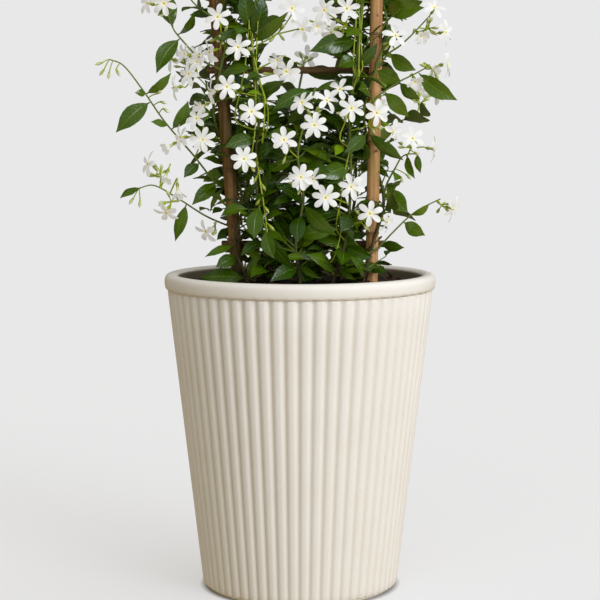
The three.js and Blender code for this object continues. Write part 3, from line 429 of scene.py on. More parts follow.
def glaze_finish():
    """Cream satin glaze: faint clouds of colour, a deeper tone in the grooves and a fine ripple.

    The skin's tone is the groove's depth outside, and an even middle value on the rim, which paints
    shade on its glaze. Below nought it paints the inner wall darker brown from just under the lip:
    painted shade, with the mix's stain."""
    finish, tree, shader, place = start_finish("cream_glaze", 0.42)
    clouds = noise(tree, place, 22.0)
    cream = mix_paint(tree, clouds, paint(235, 231, 223), paint(241, 238, 231))
    groove = skin_tone(tree)
    # The grooves take a deeper tone, and the rim's middle tone gives it some of it as painted shade.
    pooled_and_rim_shade = mix_paint(tree, step_up(tree, groove, 0.25, 1.0, 0.0, 0.35), cream, paint(214, 204, 184))
    specks = step_up(tree, noise(tree, place, 900.0, 1.0), 0.68, 0.78, 0.0, 0.35)
    specked = mix_paint(tree, specks, pooled_and_rim_shade, paint(186, 172, 148))
    # Inside the pot the wall is painted darker brown: painted shade, with the mix's stain.
    inner_shade_and_stain = mix_paint(tree, clouds, paint(86, 75, 52), paint(122, 110, 86))
    inside = step_up(tree, groove, -0.1, -0.9)
    tree.links.new(mix_paint(tree, inside, specked, inner_shade_and_stain), shader.inputs["Base Color"])
    shader.inputs["Specular IOR Level"].default_value = 0.25
    tree.links.new(step_up(tree, clouds, 0.3, 0.7, 0.4, 0.52), shader.inputs["Roughness"])
    link_bump(tree, shader, noise(tree, place, 160.0), 0.5 * MM, 0.25)
    return finish


def make_pot():
    """The pot's skin with its drain holes cut through the floor."""
    pot = add_piece("ribbed_pot", [(pot_skin(), 0)], [glaze_finish()], ["pot"], crease=60)
    edge, middles = (np.stack([np.cos(turns), np.sin(turns), 0 * turns], axis=1) * radius
        for turns, radius in ((circle(DRAIN_SIDES), DRAIN_RADIUS), (DRAIN_TURNS, DRAIN_RING)))
    levels = np.array([[0, 0, -DRILL_SPARE], [0, 0, INNER_FLOOR + DRILL_SPARE]])
    rings = middles[:, None, None] + levels[None, :, None] + edge
    skin = loft(rings, middles + levels[0], middles + levels[1])
    drill = add_mesh("drill", skin["points"], [face for block in skin["faces"] for face in block.tolist()])
    cut = pot.modifiers.new("drains", "BOOLEAN")
    cut.object = drill
    cut.solver = "EXACT"
    bpy.context.view_layer.objects.active = pot
    with bpy.context.temp_override(object=pot, active_object=pot):
        bpy.ops.object.modifier_apply(modifier="drains")
    bpy.data.objects.remove(drill)


make_pot()


# Potting mix: dark composted bark and fibre that fills the pot to just under its rim. Its top is
# uneven, with loose crumbs and flakes lying on it.
SOIL_TOP = 281 * MM
SOIL_RADIUS = (81.0 * MM, 110.5 * MM)
SOIL_FOOT = 11.3 * MM
SOIL_RELIEF = 1.5 * MM
SWELL_WAVES = (210, 170, 110)
SOIL_RINGS = 60
SOIL_SIDES = 192
WAVES = 30
WAVE_LENGTHS = (4, 16)
WAVE_SLOPE = 0.022
CRUMBS = 900
CRUMB_SPREAD = 0.97
CRUMB_SIZES = (0.8, 2.6)
CRUMB_STRETCH = (0.45, 1.5)
CRUMB_FLATNESS = 0.6
CRUMB_DENTS = 0.2
CRUMB_RINGS = ((0, 0.9, -0.45), (0.6, 0.9, 0.45))
rng = np.random.default_rng(41)


def soil_height(x, y):
    """The mix's top at a place: broad swells, and many short waves of seeded ways and lengths."""
    first, second, third = SWELL_WAVES
    swell = SOIL_RELIEF * np.sin(first * x + 1.3) * np.cos(second * y + third * x)
    waves = np.random.default_rng(5)
    turn = waves.uniform(0, np.pi, WAVES)
    length = waves.uniform(*WAVE_LENGTHS, WAVES) * MM
    shift = waves.uniform(0, 6, WAVES)
    phase = (x[..., None] * np.cos(turn) + y[..., None] * np.sin(turn)) * 2 * np.pi / length + shift
    return SOIL_TOP + swell + WAVE_SLOPE * (np.sin(phase) * length).sum(axis=-1)


def soil_skin():
    """A plug turned about +Z, whose top is the sum of waves above."""
    turn = circle(SOIL_SIDES)
    low, high = SOIL_RADIUS
    radius = np.concatenate([[low / 2, low], high * np.linspace(1, 0.02, SOIL_RINGS)])
    x, y = radius[:, None] * np.cos(turn), radius[:, None] * np.sin(turn)
    height = soil_height(x, y)
    height[:2] = SOIL_FOOT
    rings = np.stack([x, y, height], axis=-1)[None]
    centre = soil_height(np.zeros(1), np.zeros(1))[0]
    return loft(rings, np.array([[0, 0, SOIL_FOOT]]), np.array([[0, 0, centre]]))


def crumb_skin():
    """Small lumps: two five-cornered rings and two poles, each stretched and turned by a seeded draw."""
    away = SOIL_RADIUS[1] * CRUMB_SPREAD * np.sqrt(rng.uniform(0, 1, CRUMBS))
    turn = rng.uniform(0, 2 * np.pi, CRUMBS)
    x, y = away * np.cos(turn), away * np.sin(turn)
    size = rng.uniform(*CRUMB_SIZES, (CRUMBS, 1, 1)) ** 1.2 * MM
    stretch = rng.uniform(*CRUMB_STRETCH, (CRUMBS, 1, 3))
    stretch[..., 2] *= CRUMB_FLATNESS
    ball = np.array([[[np.cos(a + twist) * wide, np.sin(a + twist) * wide, level] for a in circle(5)]
        for twist, wide, level in CRUMB_RINGS]).reshape(1, 10, 3)
    local = (ball + rng.uniform(-CRUMB_DENTS, CRUMB_DENTS, (CRUMBS, 10, 3))) * size * stretch
    spin = rng.uniform(0, 2 * np.pi, (CRUMBS, 1))
    spun = np.stack([local[..., 0] * np.cos(spin) - local[..., 1] * np.sin(spin),
        local[..., 0] * np.sin(spin) + local[..., 1] * np.cos(spin), local[..., 2]], axis=-1)
    middle = np.stack([x, y, soil_height(x, y) + 0.25 * size[:, 0, 0]], axis=-1)
    rise = np.concatenate([0 * x[:, None], 0 * x[:, None], size[:, 0] * stretch[:, 0, 2:]], axis=1)
    skin = loft((spun + middle[:, None]).reshape(CRUMBS, 2, 5, 3), middle - rise, middle + rise)
    return spread_tone(skin, rng.uniform(0, 1, CRUMBS))


def soil_finish():
    """Nearly black brown, with redder and greyer crumbs, quite without gloss."""
    finish, tree, shader, place = start_finish("dark_mix", 0.95)
    crumb = skin_tone(tree)
    earth = mix_paint(tree, noise(tree, place, 260.0), paint(20, 14, 10), paint(54, 38, 26))
    bark = mix_paint(tree, crumb, paint(28, 19, 13), paint(84, 58, 40))
    brown = mix_paint(tree, step_up(tree, crumb, 0.0, 0.1), earth, bark)
    tree.links.new(brown, shader.inputs["Base Color"])
    link_bump(tree, shader, noise(tree, place, 600.0, 4.0), 1.0 * MM)
    return finish


soil_skins = [(soil_skin(), 0), (crumb_skin(), 0)]
add_piece("potting_mix", soil_skins, [soil_finish()], ["soil"], crease=50)


# Canes: two bamboo poles pushed into the mix, the left one leaning out. Each has a raised ring at
# every joint, and its top is sawn off square, so that the hollow shows.
CANE_FOOT = 90 * MM
CANE_TOP = 678 * MM
CANE_RADIUS = 5.75 * MM
CANE_STEP = 9 * MM
CANE_SIDES = 24
CANE_OVAL = 0.02
CANE_WAVER = 0.06 * MM
CANE_WAVES = 95
CANE_MOUTH = np.array([[5.4, 678], [4.3, 678], [4.0, 677.4], [3.9, 668], [3, 666]]) * MM
HOLLOW_SHADE_TONES = [0.3, 0.3, 0.6, 1, 1]
JOINT_ROWS = np.array([-6, -4.2, -3, -2, -1.2, -0.6, 0, 0.6, 1.2, 2, 4]) * MM
JOINT_SWELL = 0.55 * MM
JOINT_WIDTH = 1.5 * MM
DIP_BELOW = 3.2 * MM
DIP_DEPTH = 0.22 * MM
DIP_WIDTH = 1.1 * MM
CANES = {
    "left": {"x": -57 * MM, "lean": np.radians(-4.43), "joints": [322.8, 388.6, 449, 527, 602, 664]},
    "right": {"x": 66 * MM, "lean": np.radians(0.84), "joints": [313.5, 329, 413, 450.6, 510.6, 585, 655]},
}


def cane_x(side, height):
    """Where a cane's middle is at a height."""
    return CANES[side]["x"] + (height - SOIL_TOP) * np.tan(CANES[side]["lean"])


def cane_skin(x, lean, joints):
    """A round bar turned about its own line: a swell at each joint with a narrow dip below it.

    The profile ends in a sawn rim and goes down into the hollow. The bar then leans about the mix's top."""
    joints = np.array(joints)[:, None] * MM
    heights = np.unique(np.append(joints + JOINT_ROWS, np.arange(CANE_FOOT, CANE_TOP - 2 * MM, CANE_STEP)))
    heights = np.append(heights[heights < CANE_TOP - 1 * MM], [CANE_TOP - 0.5 * MM])
    off = heights - joints
    ring = np.exp(-(off / JOINT_WIDTH) ** 2).sum(axis=0)
    dip = np.exp(-((off + DIP_BELOW) / DIP_WIDTH) ** 2).sum(axis=0)
    radius = CANE_RADIUS + JOINT_SWELL * ring - DIP_DEPTH * dip + CANE_WAVER * np.sin(heights * CANE_WAVES)
    radius, heights = np.append(radius, CANE_MOUTH[:, 0]), np.append(heights, CANE_MOUTH[:, 1])
    turn = circle(CANE_SIDES)
    oval = 1 + CANE_OVAL * np.cos(2 * turn)
    middle = np.zeros((2, CANE_SIDES))
    across = np.append(radius[:, None] * np.cos(turn) * oval, middle, axis=0)
    deep = np.append(radius[:, None] * np.sin(turn) / oval, middle, axis=0)
    up = np.append(heights, [CANE_FOOT, heights[-1]])[:, None] - SOIL_TOP
    points = np.stack([x + across * np.cos(lean) + up * np.sin(lean), deep,
        SOIL_TOP - across * np.sin(lean) + up * np.cos(lean)], axis=-1)
    skin = loft(points[None, :-2], points[-2, :1], points[-1, :1])
    # Joints get their browner tone. The sawn rim is painted a little darker and the hollow below it more:
    # painted shade.
    joint_and_hollow_tone = np.clip(np.append(ring + 0.6 * dip, HOLLOW_SHADE_TONES), 0, 1)
    return spread_tone(skin, joint_and_hollow_tone[None])


def cane_finish(name, pale, deep, green):
    """Bamboo skin: long streaks, mossy or sunburnt patches, dark specks and browner joints."""
    finish, tree, shader, place = start_finish(name, 0.45)
    streaks = noise(tree, place, 60.0, 4.0, (6, 6, 0.35))
    skin = mix_paint(tree, step_up(tree, streaks, 0.35, 0.65), deep, pale)
    patches = step_up(tree, noise(tree, place, 26.0, 2.0, (1, 1, 0.55)), 0.52, 0.66, 0.0, 0.75)
    patched = mix_paint(tree, patches, skin, green)
    specks = step_up(tree, noise(tree, place, 210.0, 1.0, (1, 1, 0.7)), 0.66, 0.72, 0.0, 0.8)
    spotted = mix_paint(tree, specks, patched, paint(70, 38, 22))
    joint = skin_tone(tree)
    ringed = mix_paint(tree, step_up(tree, joint, 0.15, 0.9, 0.0, 0.65), spotted, paint(92, 58, 34))
    tree.links.new(ringed, shader.inputs["Base Color"])
    tree.links.new(step_up(tree, patches, 0.0, 1.0, 0.4, 0.6), shader.inputs["Roughness"])
    link_bump(tree, shader, streaks, 0.4 * MM, 0.5)
    return finish


# The left cane is painted darker than the right one: painted shade, as it stands in the foliage's shade.
cane_finishes = {
    "left": cane_finish("bamboo_left", paint(138, 98, 40), paint(88, 62, 22), paint(60, 68, 8)),
    "right": cane_finish("bamboo_right", paint(222, 172, 112), paint(186, 134, 80), paint(164, 140, 68)),
}
for side, cane in CANES.items():
    skins = [(cane_skin(**cane), 0)]
    add_piece(f"bamboo_{side}", skins, [cane_finishes[side]], [f"cane_{side}"], crease=60)


# Rungs: three thin rods with their bark on, laid across the back of the two canes.
RUNG_HEIGHTS = {"low": 318 * MM, "middle": 478 * MM, "top": 638 * MM}
RUNG_RADIUS = 3.35 * MM
RUNG_OVERHANG = 13 * MM
RUNG_END = np.array([[0, 0.8], [0.3, 0.95]])
RUNG_STEPS = 60
RUNG_SIDES = 16
RUNG_WAVES = 190
KNOTS = 4
KNOT_SWELL = 0.05
KNOT_WIDTH = 2.5 * MM
CLEAR = 0.3 * MM
RUNG_BACK = CANE_RADIUS + JOINT_SWELL + CLEAR + RUNG_RADIUS


def rung_skin(height):
    """A round rod along +X, whose radius wavers a little, with a knot here and there."""
    low, high = cane_x("left", height) - RUNG_OVERHANG, cane_x("right", height) + RUNG_OVERHANG
    inset, shrink = RUNG_END.T
    middle = np.linspace(low + 1.2 * MM, high - 1.2 * MM, RUNG_STEPS)
    along = np.concatenate([low + inset * MM, middle, (high - inset * MM)[::-1]])
    knots = rng.uniform(low, high, KNOTS)[:, None]
    swell = KNOT_SWELL * np.exp(-((along - knots) / KNOT_WIDTH) ** 2).sum(axis=0)
    radius = RUNG_RADIUS * (0.95 + 0.02 * np.sin(along * RUNG_WAVES) + swell)
    radius[[0, 1, -1, -2]] *= np.tile(shrink, 2)
    turn = circle(RUNG_SIDES)
    rings = np.stack([along[:, None] + 0 * turn, RUNG_BACK + radius[:, None] * np.cos(turn),
        height + radius[:, None] * np.sin(turn)], axis=-1)[None]
    ends = np.array([[low, RUNG_BACK, height], [high, RUNG_BACK, height]])
    return loft(rings, ends[:1], ends[1:])


def bark_finish():
    """Thin brown bark with lengthwise cracks."""
    finish, tree, shader, place = start_finish("rod_bark", 0.65)
    streaks = noise(tree, place, 120.0, 4.0, (0.25, 3, 3))
    brown = mix_paint(tree, step_up(tree, streaks, 0.3, 0.7), paint(76, 54, 22), paint(136, 102, 48))
    tree.links.new(brown, shader.inputs["Base Color"])
    link_bump(tree, shader, streaks, 0.5 * MM, 0.6)
    return finish


bark = bark_finish()
for level, height in RUNG_HEIGHTS.items():
    add_piece(f"rod_{level}", [(rung_skin(height), 0)], [bark], [f"rung_{level}"], crease=50)


# Ties: six loops of coated garden wire, one round each crossing of a rung and a cane.
TIE_RADIUS = 0.6 * MM
TIE_SLACK = 1.8 * MM
TIE_TILT = 0.8
TIE_STEPS = 41


def tube(way, radius, sides=8):
    """A round skin along a way of points: each ring is square to the way.

    The rings start from the axis that the way is least in line with, so that they don't twist."""
    ahead = np.roll(way, -1, axis=0) - np.roll(way, 1, axis=0)
    ahead[0], ahead[-1] = way[1] - way[0], way[-1] - way[-2]
    ahead = unit(ahead)
    start = np.eye(3)[np.abs(ahead).max(axis=0).argmin()]
    across = unit(start - ahead * (ahead @ start)[:, None])
    over = np.cross(ahead, across)
    turn = circle(sides)[None, :, None]
    radius = np.broadcast_to(radius, len(way))[:, None, None]
    rings = way[:, None] + radius * (np.cos(turn) * across[:, None] + np.sin(turn) * over[:, None])
    return loft(rings[None], way[:1], way[-1:])


def tie_skin(side, height):
    """A tilted oval ring: over the rung on one side of the cane and under it on the other."""
    around = CANE_RADIUS + JOINT_SWELL + CLEAR + TIE_RADIUS
    back = RUNG_BACK + RUNG_RADIUS + CLEAR + 2 * TIE_RADIUS
    turn = np.linspace(0, 2 * np.pi, TIE_STEPS)
    across = (around + TIE_SLACK) * np.cos(turn)
    deep = (back - around) / 2 + (back + around) / 2 * np.sin(turn)
    way = np.stack([cane_x(side, height) + across, deep, height + TIE_TILT * across], axis=-1)
    return tube(way, TIE_RADIUS)


def wire_finish():
    """Olive plastic coating with a dull shine."""
    finish, tree, shader, place = start_finish("wire_coat", 0.5)
    olive = mix_paint(tree, noise(tree, place, 300.0), paint(70, 62, 34), paint(104, 92, 52))
    tree.links.new(olive, shader.inputs["Base Color"])
    return finish


coat = wire_finish()
for level, height in RUNG_HEIGHTS.items():
    for side in CANES:
        name = f"{level}_{side}"
        add_piece(f"wire_{name}", [(tie_skin(side, height), 0)], [coat], [f"tie_{name}"])


# Leafy stems: eight woody climbing stems with green side shoots, each with its leaves and closed
# buds. They root in the mix, lean on the ladder, and two of them twine round the canes.
STEMS = {
    "left_front": [[-26, -12, 250], [-26, -12, 284], [-33, -15, 322], [-39, -14, 362], [-40, -13, 402],
        [-37, -14, 442], [-42, -14, 482], [-46, -15, 522], [-51, -12, 562], [-58, -9, 602], [-64, -7, 642]],
    "left_back": [[-34, 15, 250], [-34, 15, 284], [-44, 18, 326], [-48, 19, 366], [-46, 21, 406],
        [-42, 20, 446], [-44, 22, 486], [-50, 22, 526], [-56, 20, 566], [-60, 19, 606]],
    "middle_front": [[0, -20, 250], [0, -20, 284], [-4, -24, 322], [3, -22, 362], [-2, -20, 402],
        [6, -19, 436], [14, -20, 462]],
    "middle_back": [[14, 16, 250], [14, 16, 284], [8, 21, 322], [0, 24, 362], [6, 22, 402], [-2, 21, 446],
        [3, 22, 482]],
    "right_front": [[30, -14, 250], [30, -14, 284], [38, -17, 306], [44, -17, 340], [46, -15, 372],
        [46, -15, 402], [45, -16, 438], [50, -15, 478], [54, -15, 518], [57, -12, 558], [60, -9, 598],
        [62, -8, 638]],
    "right_back": [[36, 13, 250], [36, 13, 284], [44, 19, 324], [52, 20, 366], [50, 21, 406],
        [46, 20, 446], [52, 22, 486], [56, 21, 526], [60, 18, 566], [62, 17, 606]],
}
TWINE_RADIUS = 10 * MM
TWINE_PITCH = 160 * MM
TWINE_QUARTERS = np.arange(9)
TWINER_ROOTS = {"left": [-48, -15], "right": [58, -14]}
ROOT_HEIGHTS = (250, 284)
SHOOTS = {
    "upper_left": ["left_twiner", 6, [-91, -14, 488], [-108, -18, 506], [-114, -20, 514], [-119, -22, 526]],
    "top_left": ["left_twiner", 7, [-72, -12, 523], [-84, -14, 528], [-98, -16, 540], [-106, -18, 556]],
    "long_left": ["left_back", 3, [-74, 7, 372], [-98, -6, 401], [-123, -14, 431], [-142, -18, 459],
        [-159, -20, 481], [-172, -20, 487]],
    "low_left": ["left_back", 2, [-60, 15, 332], [-86, 0, 344], [-110, -10, 360], [-132, -18, 373],
        [-146, -22, 371]],
    "hanging": ["left_front", 3, [-38, -26, 363], [-36, -36, 351], [-30, -40, 332]],
    "upper_right": ["right_twiner", 6, [80, -11, 492], [90, -13, 499], [102, -16, 510], [117, -18, 526]],
    "long_right": ["right_front", 6, [55, -17, 441], [72, -14, 455], [90, -14, 467], [102, -16, 473],
        [115, -19, 480]],
    "short_right": ["right_front", 5, [54, -19, 414], [61, -18, 421]],
    "middle_right": ["right_twiner", 3, [79, -3, 372], [87, -4, 388], [95, -5, 400], [109, -8, 402]],
    "low_right": ["right_front", 2, [56, -18, 309], [71, -15, 316], [84, -12, 329], [98, -14, 343],
        [110, -16, 352], [128, -18, 361]],
    "back_left": ["left_back", 5, [-58, 34, 458], [-84, 42, 470], [-108, 46, 474]],
    "back_right": ["right_back", 4, [66, 34, 416], [90, 42, 430], [112, 44, 436]],
    "back_low": ["middle_back", 3, [-16, 38, 372], [-34, 52, 376], [-50, 62, 368]],
    "top_right": ["right_back", 7, [72, 14, 540], [92, 8, 556], [110, 6, 566]],
    "back_top": ["left_back", 7, [-66, 30, 540], [-92, 34, 556], [-112, 34, 560]],
}
STEM_RADII = (1.6 * MM, 1.0 * MM)
SHOOT_RADII = (1.0 * MM, 0.55 * MM)
BLADE_STATION = 0.7
BLADE_STATION_WIDTH = 0.7335
BLADE_LEAST_EDGE = 3 * MM
BLADE_LEAST_TIP = 2.5 * MM
BLADE_CAMBER = 0.1
BLADE_ROWS = np.array([0.03, 0.1, 0.15, 0.23, 0.35, 0.48, 0.61, 0.73, 0.83, 0.91, 0.97])
BLADE_ACROSS = np.array([-1, -0.5, 0, 0.5, 1, 0])
BLADE_BELOW = np.array([0, 0, 0, 0, 0, 1])
BLADE_UV = np.array([0, 0.25, 0.5, 0.75, 1, 1.5, 2])
SAMPLES_ALONG = np.array([0.25, 0.45, 0.65, 0.85, 1.0, 0.4, 0.4, 0.68, 0.68])
SAMPLES_OFF = np.array([0, 0, 0, 0, 0, -0.4, 0.4, -0.33, 0.33])
LEAF_STALK = 0.09
LEAF_TIP = 0.72
LEAF_FOLD = (0.15, 0.5)
LEAF_BEND = (0.1, 0.4)
LEAF_RIPPLE = (0.02, 0.1)
LEAF_PHASE = (0, 6.3)
LEAF_ARCH = (0.7, 1.5)
LEAF_SWAY = (-0.05, 0.05)
LEAF_WAVES = 2.3
OUTER_PALE_FROM = 60 * MM
YOUNG_AND_LIGHT_SHARES = (0.1, 0.4)
BUD_LENGTH = 7.5 * MM
BUD_RADIUS = 1.5 * MM
BUD_TIP = 3.0 * MM
BUD_MOST_EDGE = 2.6 * MM
BUD_ROWS = np.array([0, 0.08, 0.2, 0.34, 0.48, 0.62, 0.76, 0.9])
BUD_SHAPE = np.array([0.45, 0.72, 0.66, 0.8, 1.0, 0.95, 0.66, 0.3])
BUD_SIDES = 7
BUD_STALK = (0.5 * MM, 0.6 * MM)
BUD_STALK_BOW = [0, 0, 0.5 * MM]
STALK_STEPS = 4
STALK_SIDES = 6
ASIDE = [0.36, 0.48, 0.8]


def smooth_way(points, steps=8):
    """A Catmull-Rom curve: between two points it is the cubic that leaves each along its neighbours."""
    padded = np.vstack([2 * points[0] - points[1], points, 2 * points[-1] - points[-2]])
    before, start, end, after = (padded[k:len(padded) - 3 + k, None] for k in range(4))
    share = (np.arange(steps) / steps)[None, :, None]
    way = start + share / 2 * (end - before + share * (2 * before - 5 * start + 4 * end - after
        + share * (3 * (start - end) + after - before)))
    return np.vstack([way.reshape(-1, 3), points[-1]])


def branch_ways():
    """Every stem and shoot as the stem it belongs to and its smooth way, with the twiners' helices."""
    points = {name: np.array(rows) * MM for name, rows in STEMS.items()}
    height = RUNG_HEIGHTS["low"] + TWINE_QUARTERS * TWINE_PITCH / 4
    turn = TWINE_QUARTERS * np.pi / 2
    for side, root in TWINER_ROOTS.items():
        helix = np.stack([cane_x(side, height) + TWINE_RADIUS * np.sin(turn), -TWINE_RADIUS * np.cos(turn),
            height], axis=1)
        foot = np.array([[*root, level] for level in ROOT_HEIGHTS]) * MM
        points[f"{side}_twiner"] = np.vstack([foot, helix])
    stem_of = {name: name for name in points}
    for name, (parent, knot, *way) in SHOOTS.items():
        points[name] = np.vstack([points[parent][knot], np.array(way) * MM])
        stem_of[name] = stem_of[parent]
    return {name: (stem_of[name], smooth_way(rows)) for name, rows in points.items()}


def corners_of(node):
    """A node's corners without doubles, its faces, and the corners that each corner joins, in order."""
    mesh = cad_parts[node].data
    places = np.empty(3 * len(mesh.vertices))
    mesh.vertices.foreach_get("co", places)
    loops = np.empty(len(mesh.loops), np.int32)
    mesh.loops.foreach_get("vertex_index", loops)
    corners, index = np.unique(places.reshape(-1, 3).round(6), axis=0, return_inverse=True)
    faces = index.reshape(-1)[loops].reshape(-1, 3)
    pairs = np.unique(np.vstack([faces[:, [0, 1]], faces[:, [1, 2]], faces[:, [2, 0]]]), axis=0)
    return corners, faces, pairs


def three_corner_tips(corners, pairs):
    """The corners that join just three others, and those three: where a blade or a bud ends."""
    counts = np.bincount(pairs[:, 0], minlength=len(corners))
    tips = np.flatnonzero(counts == 3)
    starts = np.concatenate([[0], np.cumsum(counts)[:-1]])
    rings = corners[pairs[starts[tips, None] + np.arange(3), 1]]
    return corners[tips], rings


def read_blades(tips, rings):
    """Each solid blade's root, tip, face way and width, from its tip and the three corners before it."""
    edges = np.linalg.norm(rings - np.roll(rings, -1, axis=1), axis=2)
    far = np.linalg.norm(rings.mean(axis=1) - tips, axis=1)
    is_blade = (edges.max(axis=1) > BLADE_LEAST_EDGE) & (far > BLADE_LEAST_TIP)
    tips, rings, edges = tips[is_blade], rings[is_blade], edges[is_blade]
    longest = edges.argmax(axis=1)
    pick = np.arange(len(tips))
    left, right, ridge = (rings[pick, (longest + k) % 3] for k in range(3))
    middle = (left + right) / 2
    up = unit(ridge - middle)
    ahead = tips - (ridge + middle) / 2
    span = (ahead - (ahead * up).sum(axis=1, keepdims=True) * up) / (1 - BLADE_STATION)
    width = np.linalg.norm(left - right, axis=1) / BLADE_STATION_WIDTH
    return tips - span, tips, up, width


def read_buds(tips, rings):
    """Each solid bud's tip and the way it points."""
    edges = np.linalg.norm(rings - np.roll(rings, -1, axis=1), axis=2)
    ahead = tips - rings.mean(axis=1)
    far = np.linalg.norm(ahead, axis=1)
    is_bud = (edges.max(axis=1) < BUD_MOST_EDGE) & (np.abs(far - BUD_TIP) < 0.5 * MM)
    return tips[is_bud], unit(ahead[is_bud])


def square_to(axis):
    """Two ways that are square to an axis and to each other."""
    across = unit(np.cross(axis, ASIDE))
    return across, np.cross(axis, across)


def nearest(points, way):
    """The point of a way that lies nearest to each given point."""
    return way[np.linalg.norm(points[:, None] - way[None], axis=2).argmin(axis=1)]


def blade_samples(root, tip, up, width):
    """Nine points on each blade: five along its middle line and four near its margins."""
    span = tip - root
    side = unit(np.cross(span, up))
    off = (width[:, None] * SAMPLES_OFF)[..., None]
    return root[:, None] + span[:, None] * SAMPLES_ALONG[:, None] + side[:, None] * off


def leaf_skin(root, tip, up, width, tone, rows=BLADE_ROWS):
    """Closed leaf blades, one for each row of the arrays.

    The middle line rises as half a sine and sways aside as another. The half width starts as a slim
    stalk, swells as a sine drawn towards the base, and narrows further near the tip. Across, both
    halves fold up from the rib, bend back at the margins and wave along them. The underside is
    lowered by the thickness."""
    count = len(root)
    fold, bend, ripple, phase, arch, sway = (rng.uniform(low, high, (count, 1, 1)) for low, high in (
        LEAF_FOLD, LEAF_BEND, LEAF_RIPPLE, LEAF_PHASE, LEAF_ARCH, LEAF_SWAY))
    span = tip - root
    length = np.linalg.norm(span, axis=1)[:, None, None]
    long = unit(span)
    up = unit(up - long * (up * long).sum(axis=1, keepdims=True))
    side = np.cross(long, up)
    share = rows[None, :, None]
    blade = np.clip((share - LEAF_STALK) / (1 - LEAF_STALK), 0, 1)
    narrowing = 0.45 * np.clip((blade - LEAF_TIP) / (1 - LEAF_TIP), 0, 1)
    outline = np.sin(np.pi * blade ** 0.9) ** 0.9 * (1 - narrowing)
    half = width[:, None, None] / 2 * outline + 0.5 * MM * (1 - share) ** 3
    across = BLADE_ACROSS[None, None, :]
    wave = ripple * half * np.abs(across) * np.sin(2 * np.pi * LEAF_WAVES * share + phase + across)
    lift = half * (fold * np.abs(across) - bend * across ** 2) + wave * np.sin(np.pi * share)
    thick = np.where(share < 0.1, 1.0, 0.45) + 0.35 * (1 - np.abs(across))
    high = arch * BLADE_CAMBER * length * np.sin(np.pi * share) + lift - BLADE_BELOW * thick * MM
    aside = half * across + sway * length * np.sin(np.pi * share)
    rings = (root[:, None, None] + long[:, None, None] * (length * share + 0 * across)[..., None]
        + side[:, None, None] * aside[..., None] + up[:, None, None] * high[..., None])
    return spread_tone(loft(rings, root, tip, BLADE_UV, rows), tone)


def bud_skin(tip, way, tip_tone=0.75):
    """Closed buds: slim spindles about their own line, green at the base and paler at the tip."""
    base = tip - way * BUD_LENGTH
    across, over = square_to(way)
    turn = circle(BUD_SIDES)[:, None]
    ring = across[:, None] * np.cos(turn) + over[:, None] * np.sin(turn)
    rings = (base[:, None, None] + (way[:, None] * (BUD_ROWS * BUD_LENGTH)[:, None])[:, :, None]
        + ring[:, None] * (BUD_SHAPE * BUD_RADIUS)[:, None, None])
    tone = np.interp(BUD_ROWS, [0, 0.15, 1], [0.0, 0.35, tip_tone])
    return spread_tone(loft(rings, base, tip), np.tile(tone, (len(tip), 1)))


def leaf_finish():
    """Glossy leaf: a pale rib and side veins, dark to yellow-green by its own tone, duller below.

    The UV's first number is the way across, from 0 to 1 above and 1 to 2 below, and the second is
    the share along the leaf."""
    finish, tree, shader, place = start_finish("leaf_skin", 0.3)
    across, along = add_node(tree, "SeparateXYZ", {0: add_node(tree, "UVMap").outputs[0]}).outputs[:2]
    off_rib = math(tree, "ABSOLUTE", math(tree, "SUBTRACT", math(tree, "FRACT", across), 0.5))
    rib = step_up(tree, off_rib, 0.012, 0.04, 1.0, 0.0)
    slanted = math(tree, "MULTIPLY_ADD", off_rib, -0.32, along)
    veins = step_up(tree, math(tree, "PINGPONG", slanted, 0.055), 0.0, 0.012, 0.45, 0.0)
    lines = math(tree, "MAXIMUM", rib, veins)
    tone = skin_tone(tree)
    clouds = noise(tree, place, 90.0)
    dark = mix_paint(tree, clouds, paint(24, 51, 0), paint(47, 83, 3))
    young = mix_paint(tree, clouds, paint(100, 140, 4), paint(146, 174, 20))
    green = mix_paint(tree, tone, dark, young)
    veined = mix_paint(tree, math(tree, "MULTIPLY", lines, 0.35), green, paint(132, 156, 40))
    below = step_up(tree, across, 0.999, 1.02)
    pale = mix_paint(tree, 0.5, veined, paint(100, 128, 34))
    tree.links.new(mix_paint(tree, below, veined, pale), shader.inputs["Base Color"])
    sheen = step_up(tree, clouds, 0.3, 0.7, 0.15, 0.26)
    rough = add_node(tree, "Mix", {0: below, 2: sheen, 3: 0.6}).outputs[0]
    tree.links.new(rough, shader.inputs["Roughness"])
    shader.inputs["Specular IOR Level"].default_value = 0.8
    swells = math(tree, "MULTIPLY_ADD", noise(tree, place, 90.0, 1.0), 1.6, lines)
    link_bump(tree, shader, swells, -0.4 * MM, 0.45)
    return finish


def stem_finish():
    """Young green bark above that turns woody and brown towards the root."""
    finish, tree, shader, place = start_finish("stem_bark", 0.55)
    tone = skin_tone(tree)
    grain = noise(tree, place, 160.0, 3.0, (2, 2, 0.5))
    woody = mix_paint(tree, grain, paint(44, 34, 16), paint(92, 72, 38))
    green = mix_paint(tree, grain, paint(82, 110, 18), paint(132, 158, 42))
    tree.links.new(mix_paint(tree, tone, woody, green), shader.inputs["Base Color"])
    link_bump(tree, shader, grain, 0.4 * MM, 0.5)
    return finish


